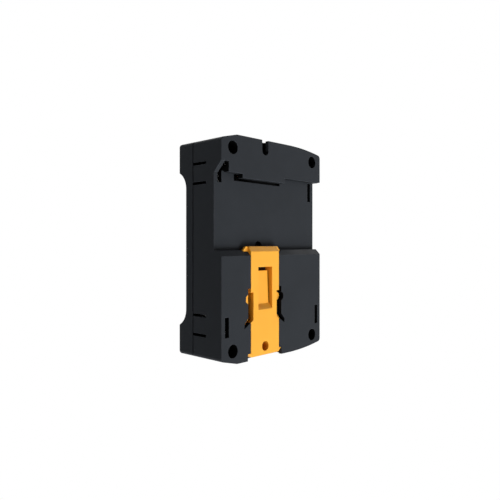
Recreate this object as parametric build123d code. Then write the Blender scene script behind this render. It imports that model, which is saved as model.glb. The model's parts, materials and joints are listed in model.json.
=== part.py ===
from build123d import *
import math
import os

# DIN rail contactor with three poles and a solenoid side by side in a flat two-part casing.
# X runs across the width, +Y points at the wall behind, +Z is up, in millimetres.
# The origin is the middle of the rail seat: Y = 0 is the face that lies on the rail,
# Z = 0 is the centre line of the rail and X = 0 the middle of the casing.
# Names that end in _height are counted from the middle of the casing, names that end in
# _depth from its rear face, and names that end in _y are places on the Y axis.

past = 1.0                  # how far a cut runs past the face that it opens
sliver = 0.01               # overlap that lets two shapes join or cut cleanly

# Rail seat
rail_size = 35.0
rail_play = 0.2
rail_slot = 1.35            # room for the 1 mm rail flange behind lip and latch nose
recess_depth = 4.75
shoulder_height = -0.45     # lower edge of the rail seat
shoulder_flat = 2.6         # depth at which the shoulder's bevel starts
shoulder_bevel = 2.6

# Casing outline, seen from the front
casing_width = 72.0
crown_height = 51.1         # half height of the casing at its flat crown
slope_width = 9.8           # width of the sloping part next to the +X side
slope_drop = 0.35           # fall of the crown up to that part
side_drop = 2.75            # fall of the crown up to the +X side
crown_end = -11.0           # X where the flat crown turns into an arc
crown_radius = 138.0
corner_round = 1.8
edge_round = 0.3
front_round = 0.5

# Casing depth
seam_depth = 18.7
mid_depth = 23.55
end_depth = 28.45
raised_end = 23.5           # height of each raised end with its arc
sweep_radius = 8.4          # arc between the middle and the raised ends
wall = 2.0
seam_groove = 0.3

# Upper lip, its edges counted down from the roof of the rail seat
lip_left_drop = 1.0
lip_right_drop = 0.45
lip_end_drop = 0.26         # the lip's slanted end starts this far below its edge
tongue_drop = 2.85
tongue_left = 22.7
tongue_right = -6.8
tongue_slot_margin = 0.9    # the slot behind the tongue is longer than it at the +X end
tongue_slot_overlap = 1.4   # and at the other end
tongue_slot_drop = 3.65
eyelet_width = 2.4          # slots beside the snap hooks
eyelet_inset = 2.25

# Snap hooks and the slits beside them, below each corner screw
snap_length = 8.8
far_snap_past = 0.8         # the -X hooks reach this much lower
near_snap_gap = 6.35
far_snap_gap = 10.45
slit_width = 1.25
slit_depth = 9.9
hook_thickness = 1.4
hook_gap = 0.2
barb = 0.8
ledge = 0.7
ledge_depth = 11.6
ledge_thickness = 1.0
hook_end_depth = 7.6

# Corner screws
screw_inset = 7.1
screw_drop = 6.35           # below the crown
head_seat_depth = 12.5
screw_head = 5.5
screw_head_play = 0.25
screw_head_thickness = 2.0
screw_shank = 2.8
screw_shank_play = 0.2
screw_end_inset = 3.8       # from the front of the raised end
screw_drive = 3.3
screw_hole_spare = 0.5
thread_play = 0.05
boss_wall = 1.4

# Upper fixing notch
notch_width = 4.3
notch_drop = 5.1            # centre of the notch's round end, below the crown
notch_head_width = 8.8
notch_head_drop = 6.0       # from that centre to the end of the screw head's room

# DIN latch: a plate in the casing's slot with a wider flange behind the slot's edges
latch_x = 7.5
latch_width = 19.7
latch_side_play = 0.2
latch_travel = 8.7          # brings the latch's hole 100 mm below the upper notch
latch_floor_gap = 0.25
latch_flange_gap = 0.15
flange_reach = 2.9          # beyond the plate's edge
flange_side_play = 0.8
nose_height = 1.3
nose_base_height = -1.15
nose_bevel = 1.6
lip_chamfer = 1.7
foot_inset = 1.7            # from the casing's lower crown
foot_thickness = 1.9
foot_play = 0.1
foot_reach = 1.65           # beyond the plate's edge, at the foot's upper corners
foot_slant = 2.1            # the foot is this much shorter at the bottom, at each end
foot_side_play = 0.35
latch_hole = 4.5
latch_hole_rise = 4.1       # above the foot's end
window_width = 9.6
window_top_height = -8.35
window_bottom_height = -28.2
pry_gap = 1.4
pry_top_depth = 2.45
pry_bottom_depth = 1.7
pry_thickness = 1.2
pry_side_gap = 0.3
ramp_height = 2.7           # slope at the window's lower end
ramp_depth = 1.9
core_hole = 4.7             # round hole in the rail seat, above the latch's nose
core_hole_offset = -0.2
core_hole_height = 1.3

# Spring arms in the latch's edge notches; reaches are counted from the plate's edge
edge_notch = 1.65
notch_top_height = -19.8
arm_root = 0.5              # how far the arm reaches into the plate's shoulder
arm_gap = 1.3
arm_thickness = 1.2
arm_length = 11.7
arm_foot_reach = 3.55
arm_foot_slant = 2.9
arm_foot_length = 4.5
arm_foot_tip = 0.6
arm_foot_room = 0.5
arm_play = 1.05
edge_notch_past = 0.8       # the edge notch ends this far below the arm's leg
edge_notch_slant = 1.0
bump_drop = 3.1
bump_radius = 1.9
bump_reach = 2.65

# The casing's cutouts beside the latch
cutout_rise = 1.9
cutout_reach = 1.85
bulge_reach = 3.25
bulge_edge = 1.0
bulge_rise = 1.3
bulge_fall = 1.0
band_rise = 0.3
band_drop = 2.6
band_reach = 4.2
band_length = 4.7
channel_wall = 1.5

# Terminals: four at each end, three for the poles and one for the coil
terminal_zone = 11.0        # width at each side that the corner screws take
terminal_drop = 10.3        # below the crown
cage_width = 8.4
cage_length = 7.0
cage_wall = 1.0
cage_front_wall = 1.6
cage_rear_y = -5.0
cage_front_y = -15.0
tab_side_play = 0.3
tab_gap = 0.2
tab_past = 4.0              # beyond the terminal screw's axis
terminal_screw = 3.5
terminal_head = 5.4
terminal_head_thickness = 2.2
terminal_head_gap = 0.3
driver_slot = 0.8
driver_slot_depth = 0.9
driver_play = 0.1
driver_tube_wall = 1.1
driver_tube_gap = 0.35
wire_side_margin = 0.1
wire_margin = 0.3

# Poles
rib = 1.2
base_thickness = 1.2
bar_thickness = 1.5
bar_side_play = 0.25
bar_middle_gap = 2.4        # between the two landings of one pole
jog_gap = 2.6               # from the cage to the bar's step
base_end_past = 5.2         # beyond the terminal screw's axis
base_end_gap = 0.35         # between the outer cages and the outer partitions
base_play = 0.25
outer_partition = 0.95
partition_past = 0.6
pole_inset = 0.2            # from the bars' steps
base_screw_drop = 2.2       # from the terminal screw's axis
base_screw_shank = 2.4
base_screw_head = 4.4
base_screw_head_thickness = 1.6
base_screw_wall = 1.8
base_screw_bite = 0.75
landing_gap = 0.6
tip_diameter = 3.6
tip_thickness = 1.0
tip_offset = 3.3
contact_gap = 2.4
closed_gap = 0.05
wipe = 0.6
bridge_width = 4.6
bridge_length = 10.4
bridge_thickness = 1.2

# Contact carrier
carrier_gap = 0.8
carrier_play = 0.3
cheek = 1.2
cheek_width = 4.8
keeper = 1.2
keeper_width = 2.2
spring_room = 5.95
beam_thickness = 4.0
beam_end_play = 0.6
contact_spring_diameter = 4.0
contact_spring_wire = 0.5
contact_spring_turns = 5
cover_gap = 1.85            # behind the front wall
cover_thickness = 1.2
cover_low_height = -4.0
cover_end_gap = 0.7
cover_post_inset = 6.0

# Solenoid
yoke_thickness = 1.8
yoke_depth = 9.6
yoke_side_gap = 0.5
hook_zone = 2.8
yoke_end_gap = 1.7
yoke_top_height = 2.0
plate_thickness = 2.0
bobbin_flange = 1.2
bobbin_gap = 0.35
bobbin_play = 0.2
bobbin_tube_wall = 0.9
winding_inset = 0.6
tape_thickness = 0.25
plunger_radius = 3.2
plunger_fit = 0.08
plunger_neck = 1.6
neck_play = 0.3
core_height = -17.0
core_spigot = 2.0
shading_width = 0.8
shading_thickness = 1.0
shading_inset = 1.0
pole_gap = 0.05             # left between core and plunger when closed
clip_thickness = 0.8
clip_gap = 0.05
clip_radius = 3.2
neck_end = 0.7
return_spring_wire = 0.7
return_spring_play = 0.4
return_spring_turns = 5
pad_thickness = 1.4
pad_rib = 1.4
strap_thickness = 0.8
strap_width = 3.0
strap_side_gap = 0.3

# Control board
board_gap = 2.65            # behind the front wall
board_thickness = 1.6
board_top_height = -7.0
board_side_play = 0.2
board_post_inset = 2.2
led_inset = 5.6             # from the board's edge
control_height = -15.0
led_radius = 1.0
led_length = 1.2
pipe_radius = 1.5
pipe_flange = 0.6
pipe_gap = 0.2
pipe_proud = 0.3
selector_inset = 16.1
selector_travel = 3.0
selector_body = (9.0, 4.4)
selector_body_thickness = 1.2
knob_size = (7.0, 5.0)
knob_proud = 2.8
knob_gap = 0.1
stem_size = (3.2, 2.4)
stem_play = 0.1
shoe_size = (7.0, 4.6)
shoe_thickness = 1.0
button_inset = 30.1
button_radius = 3.2
button_fit = 0.08
button_flange = 0.7
button_flange_thickness = 0.8
button_proud = 0.9
button_travel = 0.6
button_gap = 0.1
switch_width = 4.6
switch_thickness = 1.0
switch_plunger = 1.2
switch_rest_gap = 0.05
varistor_radius = 4.4
varistor_thickness = 3.0
capacitor_size = (8.0, 5.0, 5.5)
rectifier_size = (6.0, 2.6, 5.0)
component_drop = 14.0       # below the board's top edge

# Front
label_side = 1.35           # from the poles' outer ribs
label_size = 16.0
label_middle_height = 14.0
label_recess = 0.5
label_thickness = 0.8
label_play = 0.1
flag_inset = 6.3            # from the casing's side
flag_width = 3.8
flag_thickness = 2.2
flag_window_size = (3.6, 9.0)
lens_play = 0.05
lens_flange = 0.9
lens_flange_thickness = 0.5
actuator_inset = 7.7        # from the casing's side
actuator_width = 3.2
actuator_size = 3.0
actuator_proud = 1.2
actuator_play = 0.3
post_radius = 1.5

# Derived planes and places of the casing
half_width = casing_width / 2
inner_x = half_width - wall
roof_height = shoulder_height + rail_size + rail_play
middle_z = -(shoulder_height + roof_height) / 2
side_height = crown_height - side_drop
slope_height = crown_height - slope_drop
mid_reach = crown_height - raised_end
rear_y = recess_depth
skin_y = rear_y - wall
floor_y = -wall
seam_y = rear_y - seam_depth
mid_front_y = rear_y - mid_depth
end_front_y = rear_y - end_depth
mid_inner_y = mid_front_y + wall
end_inner_y = end_front_y + wall
lip_y = rail_slot           # front face of the lip and of the latch nose

lip_left_height = roof_height - lip_left_drop
lip_right_height = roof_height - lip_right_drop
tongue_height = roof_height - tongue_drop
tongue_slot_height = roof_height - tongue_slot_drop

screw_height = crown_height - screw_drop
near_snap_top = screw_height - near_snap_gap
far_snap_top = screw_height - far_snap_gap
head_hole = screw_head + 2 * screw_head_play
screw_hole = screw_shank + 2 * screw_shank_play
screw_end_y = end_front_y + screw_end_inset
head_seat_y = rear_y - head_seat_depth
notch_height = crown_height - notch_drop
notch_head_height = notch_height - notch_head_drop

# Latch
latch_half = latch_width / 2
flange_half = latch_half + flange_reach
foot_half = latch_half + foot_reach
latch_thickness = recess_depth - latch_floor_gap
latch_front_y = rear_y - latch_thickness
flange_y = skin_y - latch_flange_gap
foot_bottom_height = foot_inset - crown_height
foot_top_height = foot_bottom_height + foot_thickness
latch_hole_height = foot_bottom_height + latch_hole_rise
arm_foot_height = notch_top_height - arm_length
arm_foot_end_height = arm_foot_height - arm_foot_length
arm_zone_end_height = arm_foot_end_height - arm_foot_room
notch_bottom_height = arm_foot_height - edge_notch_past
bump_height = notch_top_height - bump_drop
cutout_top_height = notch_top_height + cutout_rise
band_height = arm_foot_height + band_rise
band_end_height = band_height - band_length
pocket_half = latch_half + arm_foot_reach + arm_play
channel_half = flange_half + flange_side_play

# Terminals
pitch = (casing_width - 2 * terminal_zone) / 4
terminal_x = [pitch * (n - 1.5) for n in range(4)]
pole_x = terminal_x[:3]
coil_terminal_x = terminal_x[3]
terminal_height = crown_height - terminal_drop
cage_room = cage_width - 2 * cage_wall
tab_width = cage_room - 2 * tab_side_play
tab_front_y = cage_front_y + cage_front_wall + tab_gap
tab_rear_y = tab_front_y + bar_thickness
tab_end_height = terminal_height + tab_past
terminal_head_y = cage_front_y - terminal_head_gap - terminal_head_thickness
driver_hole = terminal_head + 2 * driver_play
driver_tube_y = terminal_head_y - driver_tube_gap
wire_width = cage_room + 2 * wire_side_margin
jog_height = terminal_height - cage_length / 2 - jog_gap
jog_end_height = jog_height + bar_thickness
base_end_height = terminal_height + base_end_past
base_end_half = coil_terminal_x + cage_width / 2 + base_end_gap + outer_partition
base_screw_height = terminal_height - base_screw_drop
base_screw_end_y = skin_y - base_screw_bite
partition_height = terminal_height + partition_past
pole_reach = jog_height - pole_inset

# Stack of layers between the floor behind the rail and the front wall
base_y = floor_y - base_thickness
bar_y = base_y - bar_thickness
carrier_rear_y = bar_y - carrier_gap
cover_front_y = mid_inner_y + cover_gap
cover_rear_y = cover_front_y + cover_thickness
carrier_front_y = cover_rear_y + carrier_play
contact_y = (carrier_rear_y + carrier_front_y) / 2
landing_y = cover_rear_y + landing_gap
cover_high_height = jog_height - cover_end_gap
board_front_y = mid_inner_y + board_gap
board_rear_y = board_front_y + board_thickness
board_low_height = yoke_end_gap - jog_height
board_left = -2 * pitch - rib / 2
board_right = pitch + rib / 2

# Heights in the contact zone, the landings' tops lie at the casing's middle
bridge_low = 2 * tip_thickness + contact_gap + closed_gap
bridge_high = bridge_low + bridge_thickness
beam_low = bridge_high + spring_room
beam_high = beam_low + beam_thickness
carrier_travel = contact_gap + wipe
keeper_low = bridge_low - keeper

# Solenoid
yoke_left = pitch + rib / 2 + yoke_side_gap
yoke_right = inner_x - hook_zone
yoke_base_height = yoke_end_gap - jog_height
coil_x = (yoke_left + yoke_right) / 2
coil_y = contact_y
flange_x_half = (yoke_right - yoke_left) / 2 - yoke_thickness - bobbin_play
flange_y_half = coil_y - mid_inner_y - bobbin_gap
winding_radius = min(flange_x_half, flange_y_half) - winding_inset
bobbin_tube_radius = plunger_radius + plunger_fit + bobbin_tube_wall
coil_low = yoke_base_height + plate_thickness
coil_high = yoke_top_height - plate_thickness
plunger_low = core_height + carrier_travel + pole_gap
strap_rear_y = coil_y - yoke_depth / 2 - strap_side_gap
strap_front_y = strap_rear_y - strap_thickness
beam_left = -inner_x + beam_end_play
beam_right = yoke_right
beam_z = middle_z + (beam_low + beam_high) / 2

# Front
control_z = middle_z + control_height
led_x = board_left + led_inset
selector_x = board_left + selector_inset
button_x = board_left + button_inset
button_rear_y = mid_inner_y + button_gap + button_flange_thickness
component_height = board_top_height - component_drop
label_x = (board_left + board_right) / 2
label_width = board_right - board_left - 2 * label_side
flag_x = flag_inset - half_width
flag_z = beam_z - carrier_travel / 2
actuator_x = half_width - actuator_inset


def level(height):
    """Z of a height counted from the middle of the casing."""
    return middle_z + height


def levels(low, high):
    return (level(low), level(high))


def around(middle, width):
    return (middle - width / 2, middle + width / 2)


def block(x, y, z):
    """Box between the two values of each pair."""
    spans = (x, y, z)
    middle = [(span[0] + span[1]) / 2 for span in spans]
    size = [abs(span[1] - span[0]) for span in spans]
    return Pos(*middle) * Box(*size)


def rod_y(x, z, y, radius):
    turned = Rot(90, 0, 0) * Cylinder(radius, abs(y[1] - y[0]))
    return Pos(x, (y[0] + y[1]) / 2, z) * turned


def rod_z(x, y, z, radius):
    return Pos(x, y, (z[0] + z[1]) / 2) * Cylinder(radius, abs(z[1] - z[0]))


def ring_z(x, y, z, inner, outer):
    longer = (min(z) - past, max(z) + past)
    return rod_z(x, y, z, outer) - rod_z(x, y, longer, inner)


def prism_y(face, y):
    """A face drawn in X and Z, between two Y planes."""
    return extrude(Plane.XZ.offset(-max(y)) * face, max(y) - min(y))


def prism_x(points, x):
    """A polygon of Y and Z points, between two X planes."""
    face = make_face(Polyline(*points, close=True))
    return extrude(Plane.YZ.offset(min(x)) * face, max(x) - min(x))


def polygon(points):
    return make_face(Polyline(*points, close=True))


def joined(pieces):
    """All pieces fused to one."""
    pieces = list(pieces)
    return pieces[0] + pieces[1:]


def group(solids):
    """Separate solids that share one node."""
    found = []
    for item in solids:
        found += item.solids()
    return Compound(children=found)


def coil_spring(x, y, z, radius, wire, turns):
    """Round wire wound between two heights; the wire's own thickness is inside them."""
    low = min(z) + wire / 2
    height = abs(z[1] - z[0]) - wire
    path = Helix(pitch=height / turns, height=height, radius=radius)
    section = Plane(path @ 0, z_dir=path % 0) * Circle(wire / 2)
    return Pos(x, y, low) * sweep(section, path)


def crown_drop(x):
    """How far the crown has fallen at X, past the end of its flat part."""
    return crown_radius - math.sqrt(crown_radius**2 - (crown_end - x) ** 2)


def casing_face(inset=0.0, rounded=True):
    edges = []
    slope_end = half_width - slope_width
    arc_middle = (crown_end - half_width) / 2
    for end in (1, -1):
        near = (half_width, level(end * side_height))
        slope = (slope_end, level(end * slope_height))
        crown = (crown_end, level(end * crown_height))
        middle = (arc_middle, level(end * (crown_height - crown_drop(arc_middle))))
        far = (-half_width, level(end * (crown_height - crown_drop(-half_width))))
        edges += Polyline(near, slope, crown).edges()
        edges += ThreePointArc(crown, middle, far).edges()
    far_height = crown_height - crown_drop(-half_width)
    edges += Line((half_width, level(-side_height)), (half_width, level(side_height))).edges()
    edges += Line((-half_width, level(-far_height)), (-half_width, level(far_height))).edges()
    face = make_face(edges)
    if inset:
        face = offset(face, -inset, kind=Kind.INTERSECTION)
    if rounded:
        corners = [v for v in face.vertices() if abs(v.X) > half_width - inset - sliver]
        face = fillet(corners, corner_round)
    return face


def corner_places():
    for side in (1, -1):
        for end in (1, -1):
            yield side * (half_width - screw_inset), level(end * screw_height)


def snap_places():
    """Side and height range of each snap hook."""
    yield 1, near_snap_top - snap_length, near_snap_top
    yield -1, far_snap_top - snap_length - far_snap_past, far_snap_top
    yield 1, -near_snap_top, snap_length - near_snap_top
    yield -1, -near_snap_top - far_snap_past, snap_length - near_snap_top


def latch_pair(x):
    """The two X values at one distance on both sides of the latch's middle."""
    return (latch_x - x, latch_x + x)


# Casing
def rail_recess():
    """All that is cut out for the rail: seat, undercut, bevel and the lip's open corner."""
    full = (-half_width - past, half_width + past)
    deep = (0, rear_y + past)
    lip_end = inner_x + wall - eyelet_inset - eyelet_width
    seat = block(full, deep, levels(shoulder_height, tongue_height))
    beside = tongue_height - past
    left = block((tongue_left, half_width + past), deep, levels(beside, lip_left_height))
    right = block((-half_width - past, tongue_right), deep, levels(beside, lip_right_height))
    undercut = block((-inner_x, lip_end), (0, lip_y), levels(beside, roof_height))
    far_wall = block((-half_width - past, -inner_x), deep, levels(beside, roof_height))
    corner = block((lip_end, half_width - eyelet_inset), deep, levels(tongue_height, near_snap_top))
    diagonal = prism_x(
        [
            (rear_y + past, level(near_snap_top + past)),
            (-sliver, level(lip_left_height - lip_end_drop)),
            (rear_y + past, level(lip_left_height - lip_end_drop)),
        ],
        (half_width - eyelet_inset - sliver, half_width + past),
    )
    bevel = prism_x(
        [
            (rear_y - shoulder_flat, level(shoulder_height)),
            (rear_y + past, level(shoulder_height)),
            (rear_y + past, level(shoulder_height - shoulder_bevel - past)),
            (rear_y, level(shoulder_height - shoulder_bevel)),
        ],
        full,
    )
    tongue_slot = block(
        (tongue_right - tongue_slot_overlap, tongue_left + tongue_slot_margin),
        (floor_y - past, 0),
        levels(tongue_slot_height, roof_height),
    )
    return joined([seat, left, right, undercut, far_wall, corner, diagonal, bevel, tongue_slot])


def latch_channel():
    """The latch's slot, its wider guide behind the rear wall and the pocket of its spring arms."""
    below = -crown_height - past
    slot_half = latch_half + latch_side_play
    skin = (skin_y, rear_y + past)
    deep = (0, skin_y)
    slot = block(latch_pair(slot_half), skin, levels(below, shoulder_height))
    foot_x = latch_pair(foot_half + foot_side_play)
    foot = block(foot_x, skin, levels(below, foot_top_height + foot_play))
    guide = block(latch_pair(channel_half), deep, levels(below, shoulder_height + sliver))
    pocket_end = arm_foot_end_height - latch_travel - arm_foot_room
    pocket = block(latch_pair(pocket_half), deep, levels(pocket_end, cutout_top_height - wall / 2))
    cutouts = []
    for side in (1, -1):
        points = [
            (0, cutout_top_height),
            (cutout_reach, cutout_top_height),
            (cutout_reach, bump_height + bulge_rise + bulge_edge),
            (bulge_reach, bump_height + bulge_rise),
            (bulge_reach, bump_height - bulge_fall),
            (cutout_reach, bump_height - bulge_fall - bulge_edge),
            (cutout_reach, band_height),
            (band_reach, band_height - band_drop),
            (band_reach, band_end_height),
            (0, band_end_height + band_drop),
        ]
        face = polygon([(latch_x + side * (latch_half + x), level(z)) for x, z in points])
        cutouts.append(prism_y(face, skin))
    return joined([slot, foot, guide, pocket, *cutouts])


def fixing_notch():
    """Slot for a screw shank, with room for its head behind, open at the top."""
    above = crown_height + past
    skin = (skin_y, rear_y + past)
    shank = block(around(latch_x, notch_width), skin, levels(notch_height, above))
    end = rod_y(latch_x, level(notch_height), skin, notch_width / 2)
    head = block(around(latch_x, notch_head_width), (0, skin_y), levels(notch_head_height, above))
    return shank + end + head


def housing_cavity():
    """The room inside the rear shell, less the walls round rail seat, latch and notch."""
    room = prism_y(casing_face(wall, rounded=False), (skin_y, seam_y - past))
    full = (-half_width, half_width)
    deep = (floor_y, rear_y)
    seat_low = shoulder_height - shoulder_bevel - wall
    seat = block(full, deep, levels(seat_low, roof_height + wall))
    channel = block(latch_pair(pocket_half + channel_wall), deep, levels(-crown_height, 0))
    notch = block(
        around(latch_x, notch_head_width + 2 * channel_wall),
        deep,
        levels(notch_head_height - channel_wall, crown_height),
    )
    return room - seat - channel - notch


def rear_housing():
    shell = prism_y(casing_face(), (rear_y, seam_y + seam_groove))
    rear_edges = shell.faces().sort_by(Axis.Y)[-1].edges()
    shell = fillet(rear_edges, edge_round)
    shell += prism_y(casing_face(seam_groove), (seam_y + seam_groove, seam_y))
    shell -= housing_cavity()
    boss_radius = head_hole / 2 + boss_wall
    for x, z in corner_places():
        shell += rod_y(x, z, (skin_y, seam_y), boss_radius)
    yoke_rear_y = coil_y + yoke_depth / 2
    for x in ((yoke_left, yoke_left + yoke_thickness), (yoke_right - yoke_thickness, yoke_right)):
        shell += block(x, (skin_y, yoke_rear_y), levels(yoke_base_height, yoke_top_height))
    pad_low = yoke_base_height - pad_thickness
    stop_x = (base_end_half + base_play, yoke_right)
    shell += block(stop_x, (skin_y, coil_y), levels(pad_low - pad_rib, pad_low))
    for x, z in base_screw_places():
        shell += rod_y(x, z, (skin_y, floor_y), base_screw_shank / 2 + base_screw_wall)
    guide_z = levels(beam_low - carrier_travel, beam_high)
    guide_y = (floor_y, carrier_rear_y + carrier_play)
    for x in ((beam_left, -inner_x + pitch / 2), (coil_x + plunger_radius, yoke_right)):
        shell += block(x, guide_y, guide_z)
    for side, low, high in snap_places():
        inner = side * inner_x
        ledge_y = rear_y - ledge_depth
        ledge_x = (inner - side * ledge, inner + side * sliver)
        ledge_z = levels(low + slit_width, high - slit_width)
        shell += block(ledge_x, (ledge_y, ledge_y - ledge_thickness), ledge_z)
    shell -= rail_recess()
    shell -= latch_channel()
    shell -= fixing_notch()
    for side, low, high in snap_places():
        outer = side * (half_width - eyelet_inset)
        eyelet_x = (outer, outer - side * eyelet_width)
        shell -= block(eyelet_x, (floor_y - sliver, rear_y + past), levels(low, high))
        for z in (low, high):
            shell -= block((side * (inner_x - sliver), side * (half_width + past)),
                           (rear_y - slit_depth, seam_y - past), around(level(z), slit_width))
    for x, z in corner_places():
        shell -= rod_y(x, z, (head_seat_y, rear_y + past), head_hole / 2)
        shell -= rod_y(x, z, (seam_y - past, rear_y), screw_hole / 2)
    for x in terminal_x:
        for end in (1, -1):
            shell -= block(around(x, wire_width), wire_span(wire_margin),
                           levels(end * base_end_height, end * (crown_height + past)))
    core_hole_x = latch_x + core_hole_offset
    shell -= rod_y(core_hole_x, level(core_hole_height), (floor_y - past, past), core_hole / 2)
    for x, z in base_screw_places():
        shell -= rod_y(x, z, (base_screw_end_y, floor_y - past), base_screw_shank / 2 + thread_play)
    return shell


def base_screw_places():
    """Two screws at the top and one at the bottom; the latch's pocket is where a fourth would go."""
    for x, end in ((-pitch, 1), (pitch, 1), (-pitch, -1)):
        yield x, level(end * base_screw_height)


def wire_span(margin):
    """Y range of the wire room in a cage, widened or narrowed by a margin."""
    return (tab_rear_y - margin, cage_rear_y - cage_wall + margin)


def mid_hollow(inset=0.0):
    """All that lies in front of the flat middle and its two arcs, moved back by an inset."""
    centre_y = mid_front_y - sweep_radius
    radius = sweep_radius + inset
    turn = math.acos((end_front_y - centre_y) / radius)
    beyond = end_front_y - past
    half_z = mid_reach + radius * math.sin(turn / 2)
    half_y = centre_y + radius * math.cos(turn / 2)
    end_z = mid_reach + radius * math.sin(turn)
    flat_y = mid_front_y + inset
    edges = [
        *Line((flat_y, level(-mid_reach)), (flat_y, level(mid_reach))).edges(),
        *Line((beyond, level(-end_z)), (beyond, level(end_z))).edges(),
    ]
    for end in (1, -1):
        start = (flat_y, level(end * mid_reach))
        middle = (half_y, level(end * half_z))
        finish = (end_front_y, level(end * end_z))
        edges += ThreePointArc(start, middle, finish).edges()
        edges += Line(finish, (beyond, level(end * end_z))).edges()
    return extrude(Plane.YZ.offset(-half_width - past) * make_face(edges), casing_width + 2 * past)


def snap_hook(side, low, high):
    outer = side * (inner_x - ledge - hook_gap)
    inner = outer - side * hook_thickness
    z = levels(low + slit_width, high - slit_width)
    ledge_y = rear_y - ledge_depth
    hook_end_y = rear_y - hook_end_depth
    shaft = block((inner, outer), (hook_end_y, seam_y), z)
    root = block((inner, side * (inner_x + wall / 2)), (seam_y, mid_inner_y - wall / 2), z)
    catch = block((outer, outer + side * barb), (ledge_y + hook_gap / 2, hook_end_y), z)
    return shaft + root + catch


def board_post_places():
    for x in (board_left + board_post_inset, board_right - board_post_inset):
        for height in (board_low_height + board_post_inset, board_top_height - board_post_inset):
            yield x, height


def front_cover():
    shell = prism_y(casing_face(), (seam_y - seam_groove, end_front_y))
    front_edges = shell.faces().sort_by(Axis.Y)[0].edges()
    shell = fillet(front_edges, front_round)
    shell += prism_y(casing_face(seam_groove), (seam_y, seam_y - seam_groove))
    room = prism_y(casing_face(wall, rounded=False), (seam_y + past, end_inner_y))
    shell -= room - mid_hollow(wall)
    for x, z in corner_places():
        shell += rod_y(x, z, (seam_y, end_inner_y - wall / 2), head_hole / 2 + boss_wall)
        thread_y = (seam_y + past, screw_end_y - screw_hole_spare)
        shell -= rod_y(x, z, thread_y, screw_shank / 2 + thread_play)
    for x in terminal_x:
        for end in (1, -1):
            z = level(end * terminal_height)
            tube_radius = driver_hole / 2 + driver_tube_wall
            shell += rod_y(x, z, (driver_tube_y, end_inner_y - wall / 2), tube_radius)
            shell -= rod_y(x, z, (driver_tube_y + past, end_front_y - past), driver_hole / 2)
    for x in (pole_x[0], pole_x[2]):
        for height in (cover_high_height - cover_post_inset, cover_low_height + cover_post_inset):
            shell += rod_y(x, level(height), (cover_front_y, end_inner_y - wall / 2), post_radius)
    for x, height in board_post_places():
        shell += rod_y(x, level(height), (board_front_y, end_inner_y - wall / 2), post_radius)
    shell -= mid_hollow()
    for side, low, high in snap_places():
        shell += snap_hook(side, low, high)
    shell -= label_block(label_play, mid_front_y - past)
    z = level(control_height)
    through = (mid_inner_y + past, mid_front_y - past)
    shell -= rod_y(led_x, z, through, pipe_radius + lens_play)
    shell -= rod_y(button_x, z, through, button_radius + button_fit)
    slot_length = stem_size[0] + 2 * (selector_travel + stem_play)
    shell -= block(around(selector_x, slot_length), through, around(z, stem_size[1] + 2 * stem_play))
    shell -= block(around(flag_x, flag_window_size[0]), through, around(flag_z, flag_window_size[1]))
    actuator_half = actuator_size / 2 + actuator_play
    actuator_z = (beam_z - actuator_half - carrier_travel, beam_z + actuator_half)
    shell -= block(around(actuator_x, actuator_width + 2 * actuator_play), through, actuator_z)
    return shell


def housing_screws():
    solids = []
    for x, z in corner_places():
        screw = rod_y(x, z, (head_seat_y, head_seat_y + screw_head_thickness), screw_head / 2)
        screw += rod_y(x, z, (head_seat_y, screw_end_y), screw_shank / 2)
        drive_y = (head_seat_y + screw_head_thickness / 2, head_seat_y + screw_head_thickness + past)
        screw -= block(around(x, screw_drive), drive_y, around(z, driver_slot))
        screw -= block(around(x, driver_slot), drive_y, around(z, screw_drive))
        solids.append(screw)
    return group(solids)


# Latch
def latch_arm(side):
    """One spring arm: a straight leg, a round bump and a foot that slants outwards."""
    inner = latch_half - edge_notch + arm_gap
    outer = inner + arm_thickness
    foot_x = latch_half + arm_foot_reach
    top = notch_top_height + arm_root
    leg = [
        (inner, top),
        (outer, top),
        (outer, arm_foot_height),
        (foot_x, arm_foot_height - arm_foot_slant),
        (foot_x, arm_foot_end_height),
        (foot_x - arm_foot_tip, arm_foot_end_height),
        (inner, arm_foot_height - arm_thickness),
    ]
    y = (flange_y, latch_front_y)
    arm = prism_y(polygon([(latch_x + side * x, level(z)) for x, z in leg]), y)
    bump_x = latch_half + bump_reach
    bump = rod_y(latch_x + side * (bump_x - bump_radius), level(bump_height), y, bump_radius)
    within_x = (latch_x + side * inner, latch_x + side * bump_x)
    within = block(within_x, y, levels(notch_bottom_height, top))
    return arm + (bump & within)


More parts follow.
